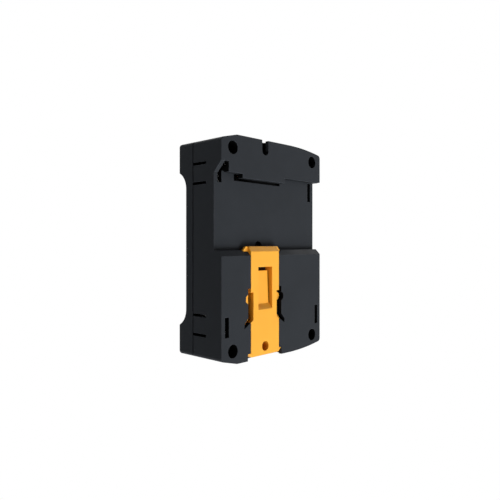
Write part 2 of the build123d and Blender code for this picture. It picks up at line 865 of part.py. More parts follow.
def din_latch():
    plate_y = (rear_y, flange_y)
    deep_y = (flange_y, latch_front_y)
    whole_y = (rear_y, latch_front_y)
    plate = block(latch_pair(latch_half), plate_y, levels(foot_bottom_height, nose_base_height))
    for side in (1, -1):
        edge_notches = [
            (latch_half - edge_notch, notch_top_height),
            (latch_half + past, notch_top_height),
            (latch_half + past, notch_bottom_height - edge_notch_slant * (1 + past / edge_notch)),
            (latch_half - edge_notch, notch_bottom_height),
        ]
        face = polygon([(latch_x + side * x, level(z)) for x, z in edge_notches])
        plate -= prism_y(face, plate_y)
    upper_z = levels(notch_top_height, shoulder_height - rail_play)
    upper = block(latch_pair(flange_half), deep_y, upper_z)
    spine_z = levels(arm_zone_end_height, notch_top_height)
    spine = block(latch_pair(latch_half - edge_notch), deep_y, spine_z)
    lower = block(latch_pair(flange_half), deep_y, levels(foot_bottom_height, arm_zone_end_height))
    foot = block(latch_pair(foot_half), plate_y, levels(foot_bottom_height, foot_top_height))
    nose = prism_x(
        [
            (rear_y, level(nose_base_height)),
            (rear_y - nose_bevel, level(nose_height)),
            (lip_y, level(nose_height)),
            (lip_y, level(nose_base_height - past)),
            (rear_y, level(nose_base_height - past)),
        ],
        latch_pair(latch_half),
    )
    nose_z = levels(nose_base_height, nose_height)
    lip = block(latch_pair(flange_half), (flange_y, lip_y), nose_z)
    corners = lip.edges().filter_by(Axis.Y).group_by(Axis.Z)[-1]
    lip = chamfer(corners, lip_chamfer)
    latch = joined([plate, upper, spine, lower, foot, nose, lip, latch_arm(1), latch_arm(-1)])
    window_z = levels(window_bottom_height, window_top_height)
    for side in (1, -1):
        corner = [
            (foot_half, foot_top_height),
            (foot_half - foot_slant, foot_bottom_height),
            (foot_half - foot_slant, foot_bottom_height - past),
            (flange_half + past, foot_bottom_height - past),
            (flange_half + past, foot_top_height),
        ]
        face = polygon([(latch_x + side * x, level(z)) for x, z in corner])
        latch -= prism_y(face, whole_y)
    latch -= block(around(latch_x, window_width), whole_y, window_z)
    tongue_low = level(window_bottom_height)
    tongue_high = level(window_top_height - pry_gap)
    latch += prism_x(
        [
            (rear_y - pry_bottom_depth, tongue_low - sliver),
            (rear_y - pry_top_depth, tongue_high),
            (rear_y - pry_top_depth - pry_thickness, tongue_high),
            (rear_y - pry_bottom_depth - pry_thickness, tongue_low - sliver),
        ],
        around(latch_x, window_width - 2 * pry_side_gap),
    )
    ramp_top = level(window_bottom_height + ramp_height)
    latch += prism_x(
        [
            (rear_y, tongue_low - sliver),
            (rear_y, tongue_low),
            (rear_y - ramp_depth, ramp_top),
            (rear_y - pry_bottom_depth - pry_thickness, ramp_top),
            (rear_y - pry_bottom_depth - pry_thickness, tongue_low - sliver),
        ],
        around(latch_x, window_width + 2 * sliver),
    )
    latch -= rod_y(latch_x, level(latch_hole_height), whole_y, latch_hole / 2)
    return latch


# Terminals
def terminal_cages(end):
    solids = []
    z = levels(end * (terminal_height - cage_length / 2), end * (terminal_height + cage_length / 2))
    longer = (min(z) - past, max(z) + past)
    for x in terminal_x:
        cage = block(around(x, cage_width), (cage_rear_y, cage_front_y), z)
        inside_y = (cage_rear_y - cage_wall, cage_front_y + cage_front_wall)
        cage -= block(around(x, cage_room), inside_y, longer)
        hole_y = (cage_front_y - past, cage_front_y + cage_front_wall + past)
        cage -= rod_y(x, level(end * terminal_height), hole_y, terminal_screw / 2 + thread_play)
        solids.append(cage)
    return group(solids)


def terminal_screws(end):
    solids = []
    z = level(end * terminal_height)
    head_rear_y = cage_front_y - terminal_head_gap
    for x in terminal_x:
        screw = rod_y(x, z, (head_rear_y, terminal_head_y), terminal_head / 2)
        screw += rod_y(x, z, (tab_front_y, head_rear_y), terminal_screw / 2)
        slot_y = (terminal_head_y - past, terminal_head_y + driver_slot_depth)
        screw -= block(around(x, terminal_head + past), slot_y, around(z, driver_slot))
        solids.append(screw)
    return group(solids)


def terminal_tab(x, end):
    """The part of a conductor that lies in the cage, behind its front wall."""
    z = levels(end * jog_height, end * tab_end_height)
    return block(around(x, tab_width), (tab_rear_y, tab_front_y), z)


def pole_bar(x, end):
    """Conductor from a terminal to the landing that carries its fixed contact."""
    outer = x - end * (pitch / 2 - rib / 2 - bar_side_play)
    inner = x - end * bar_middle_gap / 2
    jog_z = levels(end * jog_height, end * jog_end_height)
    jog = block((outer, x + end * tab_width / 2), (base_y, tab_front_y), jog_z)
    run_start = -bar_thickness if end > 0 else 0
    run = block((outer, inner), (base_y, bar_y), levels(run_start, end * jog_end_height))
    landing = block((outer, inner), (base_y, landing_y), levels(-bar_thickness, 0))
    return terminal_tab(x, end) + jog + run + landing


def fixed_tips(end):
    solids = []
    for x in pole_x:
        place = (x - end * tip_offset, contact_y)
        solids.append(rod_z(*place, levels(0, tip_thickness), tip_diameter / 2))
    return group(solids)


def coil_strap(end):
    """Flat conductor from the coil terminal to the bobbin's flange."""
    low = coil_high if end > 0 else -coil_low
    x = coil_terminal_x
    jog_z = levels(end * jog_height, end * jog_end_height)
    jog = block(around(x, tab_width), (tab_rear_y, strap_front_y), jog_z)
    run_z = levels(end * low, end * jog_end_height)
    run = block(around(x, strap_width), (strap_rear_y, strap_front_y), run_z)
    return terminal_tab(x, end) + jog + run


# Poles
def contact_base():
    ribs_x = [pitch * (n - 2) for n in range(4)]
    plate = block((board_left, board_right), (floor_y, base_y), levels(-pole_reach, pole_reach))
    for end in (1, -1):
        end_z = levels(end * pole_reach, end * base_end_height)
        plate += block((-base_end_half, base_end_half), (floor_y, base_y), end_z)
        wall_z = levels(end * partition_height, end * base_end_height)
        for x in ribs_x[1:]:
            plate += block(around(x, rib), (base_y, cage_front_y), wall_z)
        for side in (1, -1):
            outer_x = (side * base_end_half, side * (base_end_half - outer_partition))
            plate += block(outer_x, (base_y, cage_front_y), wall_z)
    for x in ribs_x:
        plate += block(around(x, rib), (base_y, cover_rear_y), levels(cover_low_height, pole_reach))
        plate += block(around(x, rib), (base_y, board_rear_y), levels(-pole_reach, cover_low_height))
    plate -= block(
        (board_left - past, board_right + past),
        (carrier_rear_y + carrier_play, cover_rear_y - past),
        levels(beam_low - carrier_travel - carrier_play, beam_high + carrier_play),
    )
    for x, z in base_screw_places():
        plate -= rod_y(x, z, (floor_y + past, base_y - past), base_screw_shank / 2 + thread_play)
    return plate


def base_screws():
    solids = []
    for x, z in base_screw_places():
        head_y = base_y - base_screw_head_thickness
        screw = rod_y(x, z, (base_y, head_y), base_screw_head / 2)
        screw += rod_y(x, z, (base_screw_end_y, base_y), base_screw_shank / 2)
        slot_y = (head_y - past, head_y + base_screw_head_thickness / 2)
        screw -= block(around(x, base_screw_head + past), slot_y, around(z, driver_slot))
        solids.append(screw)
    return group(solids)


def contact_cover():
    z = levels(cover_low_height, cover_high_height)
    return block((board_left, board_right), (cover_rear_y, cover_front_y), z)


def contact_carrier():
    beam = block((beam_left, beam_right), (carrier_rear_y, carrier_front_y), levels(beam_low, beam_high))
    rear = (carrier_rear_y, carrier_rear_y - cheek)
    front = (carrier_front_y, carrier_front_y + cheek)
    keeper_z = levels(keeper_low, bridge_low)
    for x in pole_x:
        for y in (rear, front):
            beam += block(around(x, cheek_width), y, levels(keeper_low, beam_low))
        beam += block(around(x, keeper_width), (carrier_rear_y, carrier_front_y), keeper_z)
    beam -= rod_z(coil_x, coil_y, levels(beam_low - past, beam_high + past), plunger_neck + clip_gap)
    return beam


def contact_bridge(x):
    z = levels(bridge_low, bridge_high)
    return block(around(x, bridge_length), around(contact_y, bridge_width), z)


def bridge_tips(x):
    z = levels(bridge_low - tip_thickness, bridge_low)
    return group(rod_z(x + side * tip_offset, contact_y, z, tip_diameter / 2) for side in (1, -1))


def contact_spring(x):
    radius = (contact_spring_diameter - contact_spring_wire) / 2
    z = levels(bridge_high, beam_low)
    return coil_spring(x, contact_y, z, radius, contact_spring_wire, contact_spring_turns)


def position_flag():
    y = (carrier_front_y, carrier_front_y - flag_thickness)
    return block(around(flag_x, flag_width), y, levels(beam_low, beam_high))


def manual_actuator():
    y = (carrier_front_y, mid_front_y - actuator_proud)
    return block(around(actuator_x, actuator_width), y, around(beam_z, actuator_size))


# Solenoid
def magnet_yoke():
    y = around(coil_y, yoke_depth)
    yoke = block((yoke_left, yoke_right), y, levels(yoke_base_height, coil_low))
    for x in ((yoke_left, yoke_left + yoke_thickness), (yoke_right - yoke_thickness, yoke_right)):
        yoke += block(x, y, levels(yoke_base_height, coil_high))
    hole_z = levels(yoke_base_height - past, coil_low + past)
    return yoke - rod_z(coil_x, coil_y, hole_z, core_spigot + clip_gap)


def yoke_top_plate():
    z = levels(coil_high, yoke_top_height)
    plate = block((yoke_left, yoke_right), around(coil_y, yoke_depth), z)
    hole_z = levels(coil_high - past, yoke_top_height + past)
    return plate - rod_z(coil_x, coil_y, hole_z, plunger_radius + neck_play)


def coil_bobbin():
    bobbin = rod_z(coil_x, coil_y, levels(coil_low, coil_high), bobbin_tube_radius)
    flange_x = around(coil_x, 2 * flange_x_half)
    for low, high in ((coil_low, coil_low + bobbin_flange), (coil_high - bobbin_flange, coil_high)):
        bobbin += block(flange_x, around(coil_y, 2 * flange_y_half), levels(low, high))
    hole_z = levels(coil_low - past, coil_high + past)
    return bobbin - rod_z(coil_x, coil_y, hole_z, plunger_radius + plunger_fit)


def coil_winding():
    z = levels(coil_low + bobbin_flange, coil_high - bobbin_flange)
    return ring_z(coil_x, coil_y, z, bobbin_tube_radius, winding_radius)


def coil_tape():
    z = levels(coil_low + bobbin_flange, coil_high - bobbin_flange)
    return ring_z(coil_x, coil_y, z, winding_radius, winding_radius + tape_thickness)


def shading_place():
    outer = plunger_radius - shading_inset
    return levels(core_height - shading_thickness, core_height), outer - shading_width, outer


def fixed_core():
    core = rod_z(coil_x, coil_y, levels(coil_low, core_height), plunger_radius)
    core += rod_z(coil_x, coil_y, levels(yoke_base_height, coil_low), core_spigot)
    z, inner, outer = shading_place()
    return core - ring_z(coil_x, coil_y, z, inner - clip_gap / 2, outer + clip_gap / 2)


def shading_ring():
    z, inner, outer = shading_place()
    return ring_z(coil_x, coil_y, z, inner, outer)


def armature_plunger():
    plunger = rod_z(coil_x, coil_y, levels(plunger_low, beam_low), plunger_radius)
    neck_high = beam_high + clip_thickness + neck_end
    return plunger + rod_z(coil_x, coil_y, levels(beam_low, neck_high), plunger_neck)


def armature_clip():
    z = levels(beam_high, beam_high + clip_thickness)
    return ring_z(coil_x, coil_y, z, plunger_neck + clip_gap, clip_radius)


def return_spring():
    radius = plunger_radius + return_spring_play + return_spring_wire / 2
    z = levels(yoke_top_height, beam_low)
    return coil_spring(coil_x, coil_y, z, radius, return_spring_wire, return_spring_turns)


def buffer_pad():
    z = levels(yoke_base_height - pad_thickness, yoke_base_height)
    return block((yoke_left, yoke_right), around(coil_y, yoke_depth), z)


# Control board and what the hand or eye reaches from the front
def control_board():
    x = (board_left + board_side_play, board_right - board_side_play)
    return block(x, (board_rear_y, board_front_y), levels(board_low_height, board_top_height))


def board_part(x, size):
    """A component on the rear of the board: size along X, Y and Z."""
    y = (board_rear_y, board_rear_y + size[1])
    return block(around(x, size[0]), y, around(level(component_height), size[2]))


def varistor():
    y = (board_rear_y, board_rear_y + varistor_thickness)
    return rod_y(pole_x[0], level(component_height), y, varistor_radius)


def status_led():
    return rod_y(led_x, control_z, (board_front_y, board_front_y - led_length), led_radius)


def light_pipe():
    y = (board_front_y - led_length - pipe_gap, mid_front_y - pipe_proud)
    pipe = rod_y(led_x, control_z, y, pipe_radius)
    flange_y = (mid_inner_y, mid_inner_y + pipe_flange)
    return pipe + rod_y(led_x, control_z, flange_y, pipe_radius + pipe_flange)


def selector_switch():
    y = (board_front_y, board_front_y - selector_body_thickness)
    return block(around(selector_x, selector_body[0]), y, around(control_z, selector_body[1]))


def selector_knob():
    knob_y = mid_front_y - knob_gap
    grip_y = (knob_y, knob_y - knob_proud)
    grip = block(around(selector_x, knob_size[0]), grip_y, around(control_z, knob_size[1]))
    stem_y = (mid_inner_y + knob_gap, knob_y)
    return grip + block(around(selector_x, stem_size[0]), stem_y, around(control_z, stem_size[1]))


def selector_shoe():
    y = (mid_inner_y + knob_gap, mid_inner_y + knob_gap + shoe_thickness)
    return block(around(selector_x, shoe_size[0]), y, around(control_z, shoe_size[1]))


def test_button():
    cap = rod_y(button_x, control_z, (button_rear_y, mid_front_y - button_proud), button_radius)
    flange_y = (button_rear_y, mid_inner_y + button_gap)
    return cap + rod_y(button_x, control_z, flange_y, button_radius + button_flange)


def tact_switch():
    top_y = board_front_y - switch_thickness
    body_y = (board_front_y, top_y)
    body = block(around(button_x, switch_width), body_y, around(control_z, switch_width))
    plunger_y = (top_y, button_rear_y + button_travel + switch_rest_gap)
    return body + rod_y(button_x, control_z, plunger_y, switch_plunger)


def label_block(play, front_y):
    x = around(label_x, label_width + 2 * play)
    z = around(level(label_middle_height), label_size + 2 * play)
    return block(x, (mid_front_y + label_recess, front_y), z)


def label_plate():
    return label_block(0, mid_front_y + label_recess - label_thickness)


def flag_window():
    width, height = flag_window_size
    lens_x = around(flag_x, width - 2 * lens_play)
    lens = block(lens_x, (mid_inner_y, mid_front_y), around(flag_z, height - 2 * lens_play))
    flange_x = around(flag_x, width + 2 * lens_flange)
    flange_y = (mid_inner_y, mid_inner_y + lens_flange_thickness)
    return lens + block(flange_x, flange_y, around(flag_z, height + 2 * lens_flange))


nodes = {
    "rear_housing": rear_housing(),
    "front_cover": front_cover(),
    "housing_screws": housing_screws(),
    "din_latch": din_latch(),
    "contact_base": contact_base(),
    "base_screws": base_screws(),
    "contact_cover": contact_cover(),
    "contact_carrier": contact_carrier(),
    "position_flag": position_flag(),
    "manual_actuator": manual_actuator(),
    "armature_plunger": armature_plunger(),
    "armature_clip": armature_clip(),
    "return_spring": return_spring(),
    "magnet_yoke": magnet_yoke(),
    "yoke_top_plate": yoke_top_plate(),
    "fixed_core": fixed_core(),
    "shading_ring": shading_ring(),
    "coil_bobbin": coil_bobbin(),
    "coil_winding": coil_winding(),
    "coil_tape": coil_tape(),
    "buffer_pad": buffer_pad(),
    "coil_strap_a1": coil_strap(1),
    "coil_strap_a2": coil_strap(-1),
    "line_contact_tips": fixed_tips(1),
    "load_contact_tips": fixed_tips(-1),
    "terminal_cages_top": terminal_cages(1),
    "terminal_cages_bottom": terminal_cages(-1),
    "terminal_screws_top": terminal_screws(1),
    "terminal_screws_bottom": terminal_screws(-1),
    "control_board": control_board(),
    "varistor": varistor(),
    "suppressor_capacitor": board_part(pole_x[1], capacitor_size),
    "bridge_rectifier": board_part(pole_x[2], rectifier_size),
    "status_led": status_led(),
    "light_pipe": light_pipe(),
    "selector_switch": selector_switch(),
    "selector_knob": selector_knob(),
    "selector_shoe": selector_shoe(),
    "test_button": test_button(),
    "tact_switch": tact_switch(),
    "label_plate": label_plate(),
    "flag_window": flag_window(),
}
for number, x in enumerate(pole_x, start=1):
    nodes[f"line_bar_{number}"] = pole_bar(x, 1)
    nodes[f"load_bar_{number}"] = pole_bar(x, -1)
    nodes[f"contact_bridge_{number}"] = contact_bridge(x)
    nodes[f"bridge_tips_{number}"] = bridge_tips(x)
    nodes[f"contact_spring_{number}"] = contact_spring(x)

os.makedirs("parts", exist_ok=True)
for name, shape in nodes.items():
    export_step(shape, f"parts/{name}.step")
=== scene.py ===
import bmesh
import bpy
import json
import math
from mathutils import Matrix, Vector
from mathutils.bvhtree import BVHTree

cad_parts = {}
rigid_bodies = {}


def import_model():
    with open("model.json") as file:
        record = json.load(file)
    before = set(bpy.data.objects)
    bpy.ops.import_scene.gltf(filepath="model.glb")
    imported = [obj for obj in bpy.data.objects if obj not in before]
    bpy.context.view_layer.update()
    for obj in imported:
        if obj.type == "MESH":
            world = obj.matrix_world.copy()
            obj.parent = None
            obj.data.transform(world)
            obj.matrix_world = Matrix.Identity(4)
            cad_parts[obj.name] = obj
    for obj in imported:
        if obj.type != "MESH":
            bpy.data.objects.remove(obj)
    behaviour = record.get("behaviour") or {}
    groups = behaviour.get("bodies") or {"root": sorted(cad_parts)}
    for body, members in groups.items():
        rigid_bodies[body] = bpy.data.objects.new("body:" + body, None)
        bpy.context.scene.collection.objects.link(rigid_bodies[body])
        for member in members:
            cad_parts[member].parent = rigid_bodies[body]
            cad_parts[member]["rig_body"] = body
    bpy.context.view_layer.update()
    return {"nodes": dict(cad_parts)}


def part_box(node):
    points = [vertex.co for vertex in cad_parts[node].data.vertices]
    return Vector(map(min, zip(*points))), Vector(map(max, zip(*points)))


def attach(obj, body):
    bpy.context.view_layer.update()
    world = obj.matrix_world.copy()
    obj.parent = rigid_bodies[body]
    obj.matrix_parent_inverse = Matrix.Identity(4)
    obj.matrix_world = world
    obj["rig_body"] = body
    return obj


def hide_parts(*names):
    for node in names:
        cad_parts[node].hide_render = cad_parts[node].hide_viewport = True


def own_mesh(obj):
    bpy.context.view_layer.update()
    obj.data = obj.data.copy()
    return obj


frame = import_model()
nodes = frame["nodes"]
mm = 0.001
print("frame loaded:", len(nodes), "nodes")

shellLow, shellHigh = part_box("rear_housing")
backY = shellHigh.y
sideX = shellHigh.x
middleZ = (shellLow.z + shellHigh.z) / 2


def linked(name, data):
    thing = bpy.data.objects.new(name, data)
    bpy.context.scene.collection.objects.link(thing)
    return thing


# Camera: level, looking at the back and the +X side
cameraValues = {
    "turn": 46.756,           # degrees between the sight line and the X axis, seen from above
    "pastSide": 0.15125,      # metres from the casing's +X side
    "pastBack": 0.15908,      # metres from the casing's back
    "aboveMiddle": 0.00247,
    "lens": 36.88,
    "sensor": 36.0,
    "shiftY": -0.0126,
    "nearest": 0.01,
}


def makeCamera(values):
    data = bpy.data.cameras.new("studioCamera")
    data.lens = values["lens"]
    data.sensor_width = values["sensor"]
    data.shift_y = values["shiftY"]
    data.clip_start = values["nearest"]
    camera = linked("studioCamera", data)
    camera.location = (
        sideX + values["pastSide"],
        backY + values["pastBack"],
        middleZ + values["aboveMiddle"],
    )
    camera.rotation_euler = (math.radians(90), 0, math.radians(180 - values["turn"]))
    bpy.context.scene.camera = camera


makeCamera(cameraValues)
print("camera placed")


# Small helpers for node trees
def addNode(tree, kind, **settings):
    node = tree.nodes.new(kind)
    for key, value in settings.items():
        setattr(node, key, value)
    return node


def feed(tree, node, values):
    # a value is a number, a colour or another node's output
    for key, value in values.items():
        socket = node.inputs[key]
        if isinstance(value, bpy.types.NodeSocket):
            tree.links.new(value, socket)
        else:
            socket.default_value = value
    return node


def resultOf(tree, kind, values, output=0, **settings):
    return feed(tree, addNode(tree, kind, **settings), values).outputs[output]


def compute(tree, operation, *values):
    return resultOf(tree, "ShaderNodeMath", dict(enumerate(values)), operation=operation)


def times(tree, first, second):
    return compute(tree, "MULTIPLY", first, second)


def plus(tree, first, second):
    return compute(tree, "ADD", first, second)


def minus(tree, first, second):
    return compute(tree, "SUBTRACT", first, second)


def mixed(tree, first, second, share):
    # this share of the first value, the rest of the second
    return plus(tree, times(tree, first, share), times(tree, second, 1 - share))


def between(tree, value, low, high, newLow=0.0, newHigh=1.0):
    given = {0: value, 1: low, 2: high, 3: newLow, 4: newHigh}
    return resultOf(tree, "ShaderNodeMapRange", given, interpolation_type="SMOOTHSTEP")


def varied(tree, tint, low, high):
    # a value that goes from low to high with the tint
    return between(tree, tint, 0.0, 1.0, low, high)


def blendColour(tree, share, first, second):
    return resultOf(tree, "ShaderNodeMix", {0: share, 6: first, 7: second}, output=2, data_type="RGBA")


def newGroup(name, inputs, outputs):
    group = bpy.data.node_groups.new(name, "ShaderNodeTree")
    for label, value in inputs.items():
        kind = "NodeSocketVector" if isinstance(value, tuple) else "NodeSocketFloat"
        group.interface.new_socket(label, in_out="INPUT", socket_type=kind).default_value = value
    for label in outputs:
        group.interface.new_socket(label, in_out="OUTPUT", socket_type="NodeSocketFloat")
    return group, addNode(group, "NodeGroupInput").outputs, addNode(group, "NodeGroupOutput")


def useGroup(tree, group, values):
    node = addNode(tree, "ShaderNodeGroup", node_tree=group)
    return feed(tree, node, values).outputs


def noise(tree, place, scale, detail, roughness):
    given = {"Vector": place, "Scale": scale, "Detail": detail, "Roughness": roughness}
    return resultOf(tree, "ShaderNodeTexNoise", given)


def objectPlace(tree):
    return addNode(tree, "ShaderNodeTexCoord").outputs["Object"]


# Effects shared by the finishes; each puts out masks and heights only
def makeMouldedGrain():
    inputs = {"Grains": 3000.0, "Blotches": 60.0}      # per metre
    group, given, out = newGroup("mouldedGrain", inputs, ["Height", "Tint"])
    place = objectPlace(group)
    fine = noise(group, place, given["Grains"], detail=3.0, roughness=0.6)
    cellInputs = {"Vector": place, "Scale": given["Grains"], "Smoothness": 0.6}
    cells = resultOf(group, "ShaderNodeTexVoronoi", cellInputs, feature="SMOOTH_F1")
    blotch = noise(group, place, given["Blotches"], detail=2.0, roughness=0.55)
    height = mixed(group, fine, cells, share=0.7)
    tint = mixed(group, fine, blotch, share=0.35)
    feed(group, out, {"Height": height, "Tint": between(group, tint, low=0.3, high=0.7)})
    return group


# edge wear and a painted edge highlight: rounded edges are drawn lighter in patches
def makeEdgeWearAndHighlight():
    group, given, out = newGroup("edgeWearAndHighlight", {"Amount": 0.5, "Patches": 250.0}, ["Mask"])
    edge = addNode(group, "ShaderNodeAttribute", attribute_name="edgeMask").outputs["Fac"]
    patches = noise(group, objectPlace(group), given["Patches"], detail=3.0, roughness=0.6)
    wornHighlight = times(group, edge, between(group, patches, low=0.35, high=0.65, newLow=0.35))
    feed(group, out, {"Mask": times(group, wornHighlight, given["Amount"])})
    return group


def makeHollowShade():
    # painted shade: Mask darkens closed-in faces from Low to High, Pit only the deepest ones
    inputs = {"Low": 0.6, "High": 0.95, "Amount": 0.8}
    group, given, out = newGroup("hollowShade", inputs, ["Mask", "Pit"])
    deep = addNode(group, "ShaderNodeAttribute", attribute_name="hollow").outputs["Fac"]
    mask = between(group, deep, given["Low"], given["High"])
    pit = between(group, deep, low=0.64, high=0.9)
    feed(group, out, {"Mask": times(group, mask, given["Amount"]), "Pit": pit})
    return group


def makeDrawnLines():
    inputs = {"Stretch": (600.0, 600.0, 9000.0), "Blotches": 150.0}
    group, given, out = newGroup("drawnLines", inputs, ["Height", "Tint"])
    place = objectPlace(group)
    stretching = {0: place, 1: given["Stretch"]}
    stretched = resultOf(group, "ShaderNodeVectorMath", stretching, operation="MULTIPLY")
    lines = noise(group, stretched, 1.0, detail=4.0, roughness=0.65)
    blotch = noise(group, place, given["Blotches"], detail=3.0, roughness=0.6)
    tint = mixed(group, lines, blotch, share=0.5)
    feed(group, out, {"Height": lines, "Tint": between(group, tint, low=0.3, high=0.7)})
    return group


def makeWinding():
    # round wires side by side up the Z axis
    group, given, out = newGroup("woundTurns", {"Turns": 2500.0}, ["Height", "Tint"])
    wireRadius = 0.51      # of a turn; a little over half, so that neighbours meet
    upwards = resultOf(group, "ShaderNodeSeparateXYZ", {0: objectPlace(group)}, output=2)
    turn = compute(group, "FRACT", times(group, upwards, given["Turns"]))
    offset = compute(group, "ABSOLUTE", minus(group, turn, 0.5))
    height = compute(group, "SQRT", minus(group, wireRadius ** 2, times(group, offset, offset)))
    feed(group, out, {"Height": height, "Tint": between(group, height, low=0.1, high=0.5)})
    return group


mouldedGrain = makeMouldedGrain()
edgeWearAndHighlight = makeEdgeWearAndHighlight()
hollowShade = makeHollowShade()
drawnLines = makeDrawnLines()
woundTurns = makeWinding()


def newMaterial(name):
    material = bpy.data.materials.new(name)
    material.use_nodes = True
    return material, material.node_tree, material.node_tree.nodes["Principled BSDF"]


def scaled(colour, factor):
    return (*(min(c * factor, 1.0) for c in colour), 1.0)


def grainOf(tree, values):
    return useGroup(tree, mouldedGrain, {"Grains": values["grains"], "Blotches": values["blotches"]})


def wearAndHighlightOf(tree, values):
    return useGroup(tree, edgeWearAndHighlight, {"Amount": values["wearAndHighlight"], "Patches": values["patches"]})


def reliefOf(tree, height, values):
    given = {"Height": height, "Strength": values["relief"], "Distance": values["reliefDepth"]}
    return resultOf(tree, "ShaderNodeBump", given)


# Plastics: grain is a size in metres, worn the brightness of worn edges with a painted edge highlight and
# wear how much of it shows, shade how dark the painted shade in hollows gets and shadeFrom the blocked share
# where that starts and is full
plasticDefaults = {
    "grain": 0.0002, "roughness": 0.5, "specular": 0.4, "relief": 0.05, "wearAndHighlight": 0.3, "shade": 0.5,
    "blotches": 70.0, "patches": 300.0,      # per metre
    "shadeFrom": (0.5, 0.82), "deepTint": 0.06, "pitTint": 0.08,
    "uneven": 0.05, "polished": 0.12,      # spread of the roughness, and what wear takes off it
    "reliefDepth": 0.00004,
}
plasticValues = {
    "housing_plastic": {
        "colour": (0.0283, 0.0316, 0.0366), "grain": 0.00034, "relief": 0.12, "specular": 0.04,
        "variation": 0.07, "wornHighlight": 2.1, "wearAndHighlight": 0.55, "shade": 0.96, "shadeFrom": (0.3, 0.52),
    },
    "latch_plastic": {
        "colour": (0.98, 0.445, 0.05), "grain": 0.00022, "roughness": 0.42, "specular": 0.15,
        "variation": 0.04, "wornHighlight": 1.12, "wearAndHighlight": 0.35, "shade": 0.85, "shadeFrom": (0.0, 0.55),
        # deep is the colour of the painted shade in the latch's hollows
        "deep": (0.72, 0.3, 0.012),
    },
    "label_plastic": {
        "colour": (0.72, 0.73, 0.72), "variation": 0.03, "wornHighlight": 0.8,
    },
    "base_plastic": {
        "colour": (0.022, 0.022, 0.024), "grain": 0.0004, "relief": 0.2, "roughness": 0.6,
        "specular": 0.15, "variation": 0.12, "wornHighlight": 1.8, "wearAndHighlight": 0.4, "shade": 0.8,
    },
    "carrier_plastic": {
        "colour": (0.2, 0.09, 0.04), "grain": 0.0004, "relief": 0.2, "variation": 0.15, "wornHighlight": 1.3,
        "wearAndHighlight": 0.4, "shade": 0.6,
    },
    "flag_red": {
        "colour": (0.6, 0.03, 0.02), "roughness": 0.45, "variation": 0.04, "wornHighlight": 1.2,
    },
    "control_grey": {
        "colour": (0.2, 0.215, 0.235), "grain": 0.00025, "relief": 0.08, "roughness": 0.42,
        "specular": 0.35, "variation": 0.05, "wornHighlight": 1.5, "wearAndHighlight": 0.5, "shade": 0.7,
    },
    "bobbin_plastic": {
        "colour": (0.62, 0.57, 0.45), "grain": 0.0003, "relief": 0.12, "variation": 0.06, "wornHighlight": 1.1,
        "shade": 0.6,
    },
    "rubber": {
        "colour": (0.03, 0.03, 0.03), "grain": 0.0003, "relief": 0.3, "roughness": 0.8, "specular": 0.2,
        "variation": 0.1, "wornHighlight": 1.6, "wearAndHighlight": 0.4, "shade": 0.8,
    },
    "varistor_blue": {
        "colour": (0.03, 0.11, 0.36), "grain": 0.0009, "relief": 0.35, "roughness": 0.28,
        "specular": 0.5, "variation": 0.08, "wornHighlight": 1.2, "wearAndHighlight": 0.2,
    },
    "capacitor_yellow": {
        "colour": (0.75, 0.48, 0.05), "grain": 0.0004, "relief": 0.08, "roughness": 0.35,
        "specular": 0.5, "variation": 0.05, "wornHighlight": 1.1, "wearAndHighlight": 0.2,
    },
    "chip_black": {
        "colour": (0.02, 0.02, 0.021), "grain": 0.00025, "relief": 0.2, "roughness": 0.55,
        "variation": 0.1, "wornHighlight": 1.7, "shade": 0.6,
    },
    "print": {
        "colour": (0.035, 0.036, 0.038), "roughness": 0.6, "specular": 0.2,
        "variation": 0.1, "wornHighlight": 1.3, "wearAndHighlight": 0.0, "shade": 0.0,
    },
    "palePrint": {
        "colour": (0.6, 0.61, 0.62), "roughness": 0.6, "specular": 0.2,
        "variation": 0.08, "wornHighlight": 1.1, "wearAndHighlight": 0.0, "shade": 0.0,
    },
}


def mouldedPlastic(name, values):
    material, tree, shader = newMaterial(name)
    values = {**plasticDefaults, **values}
    colour = values["colour"]
    variation = values["variation"]
    grain = grainOf(tree, {**values, "grains": 1 / values["grain"]})
    wearAndHighlight = wearAndHighlightOf(tree, values)
    low, high = values["shadeFrom"]
    hollow = useGroup(tree, hollowShade, {"Low": low, "High": high, "Amount": values["shade"]})
    base = blendColour(tree, grain["Tint"], scaled(colour, 1 - variation), scaled(colour, 1 + variation))
    # worn edges drawn lighter, partly wear and partly a painted edge highlight
    base = blendColour(tree, wearAndHighlight["Mask"], base, scaled(colour, values["wornHighlight"]))
    deep = values.get("deep", scaled(colour, values["deepTint"])[:3])
    # painted shade: closed-in faces take the deep colour, the deepest ones nearly black
    base = blendColour(tree, hollow["Mask"], base, (*deep, 1))
    base = blendColour(tree, hollow["Pit"], base, scaled(deep, values["pitTint"]))
    smoothest = values["roughness"] - values["uneven"]
    roughest = values["roughness"] + values["uneven"]
    rough = varied(tree, grain["Tint"], smoothest, roughest)
    rough = minus(tree, rough, times(tree, wearAndHighlight["Mask"], values["polished"]))
    feed(tree, shader, {
        "Base Color": base,
        "Roughness": compute(tree, "MAXIMUM", rough, hollow["Mask"]),
        "Specular IOR Level": values["specular"],
        "Normal": reliefOf(tree, grain["Height"], values),
    })
    return material


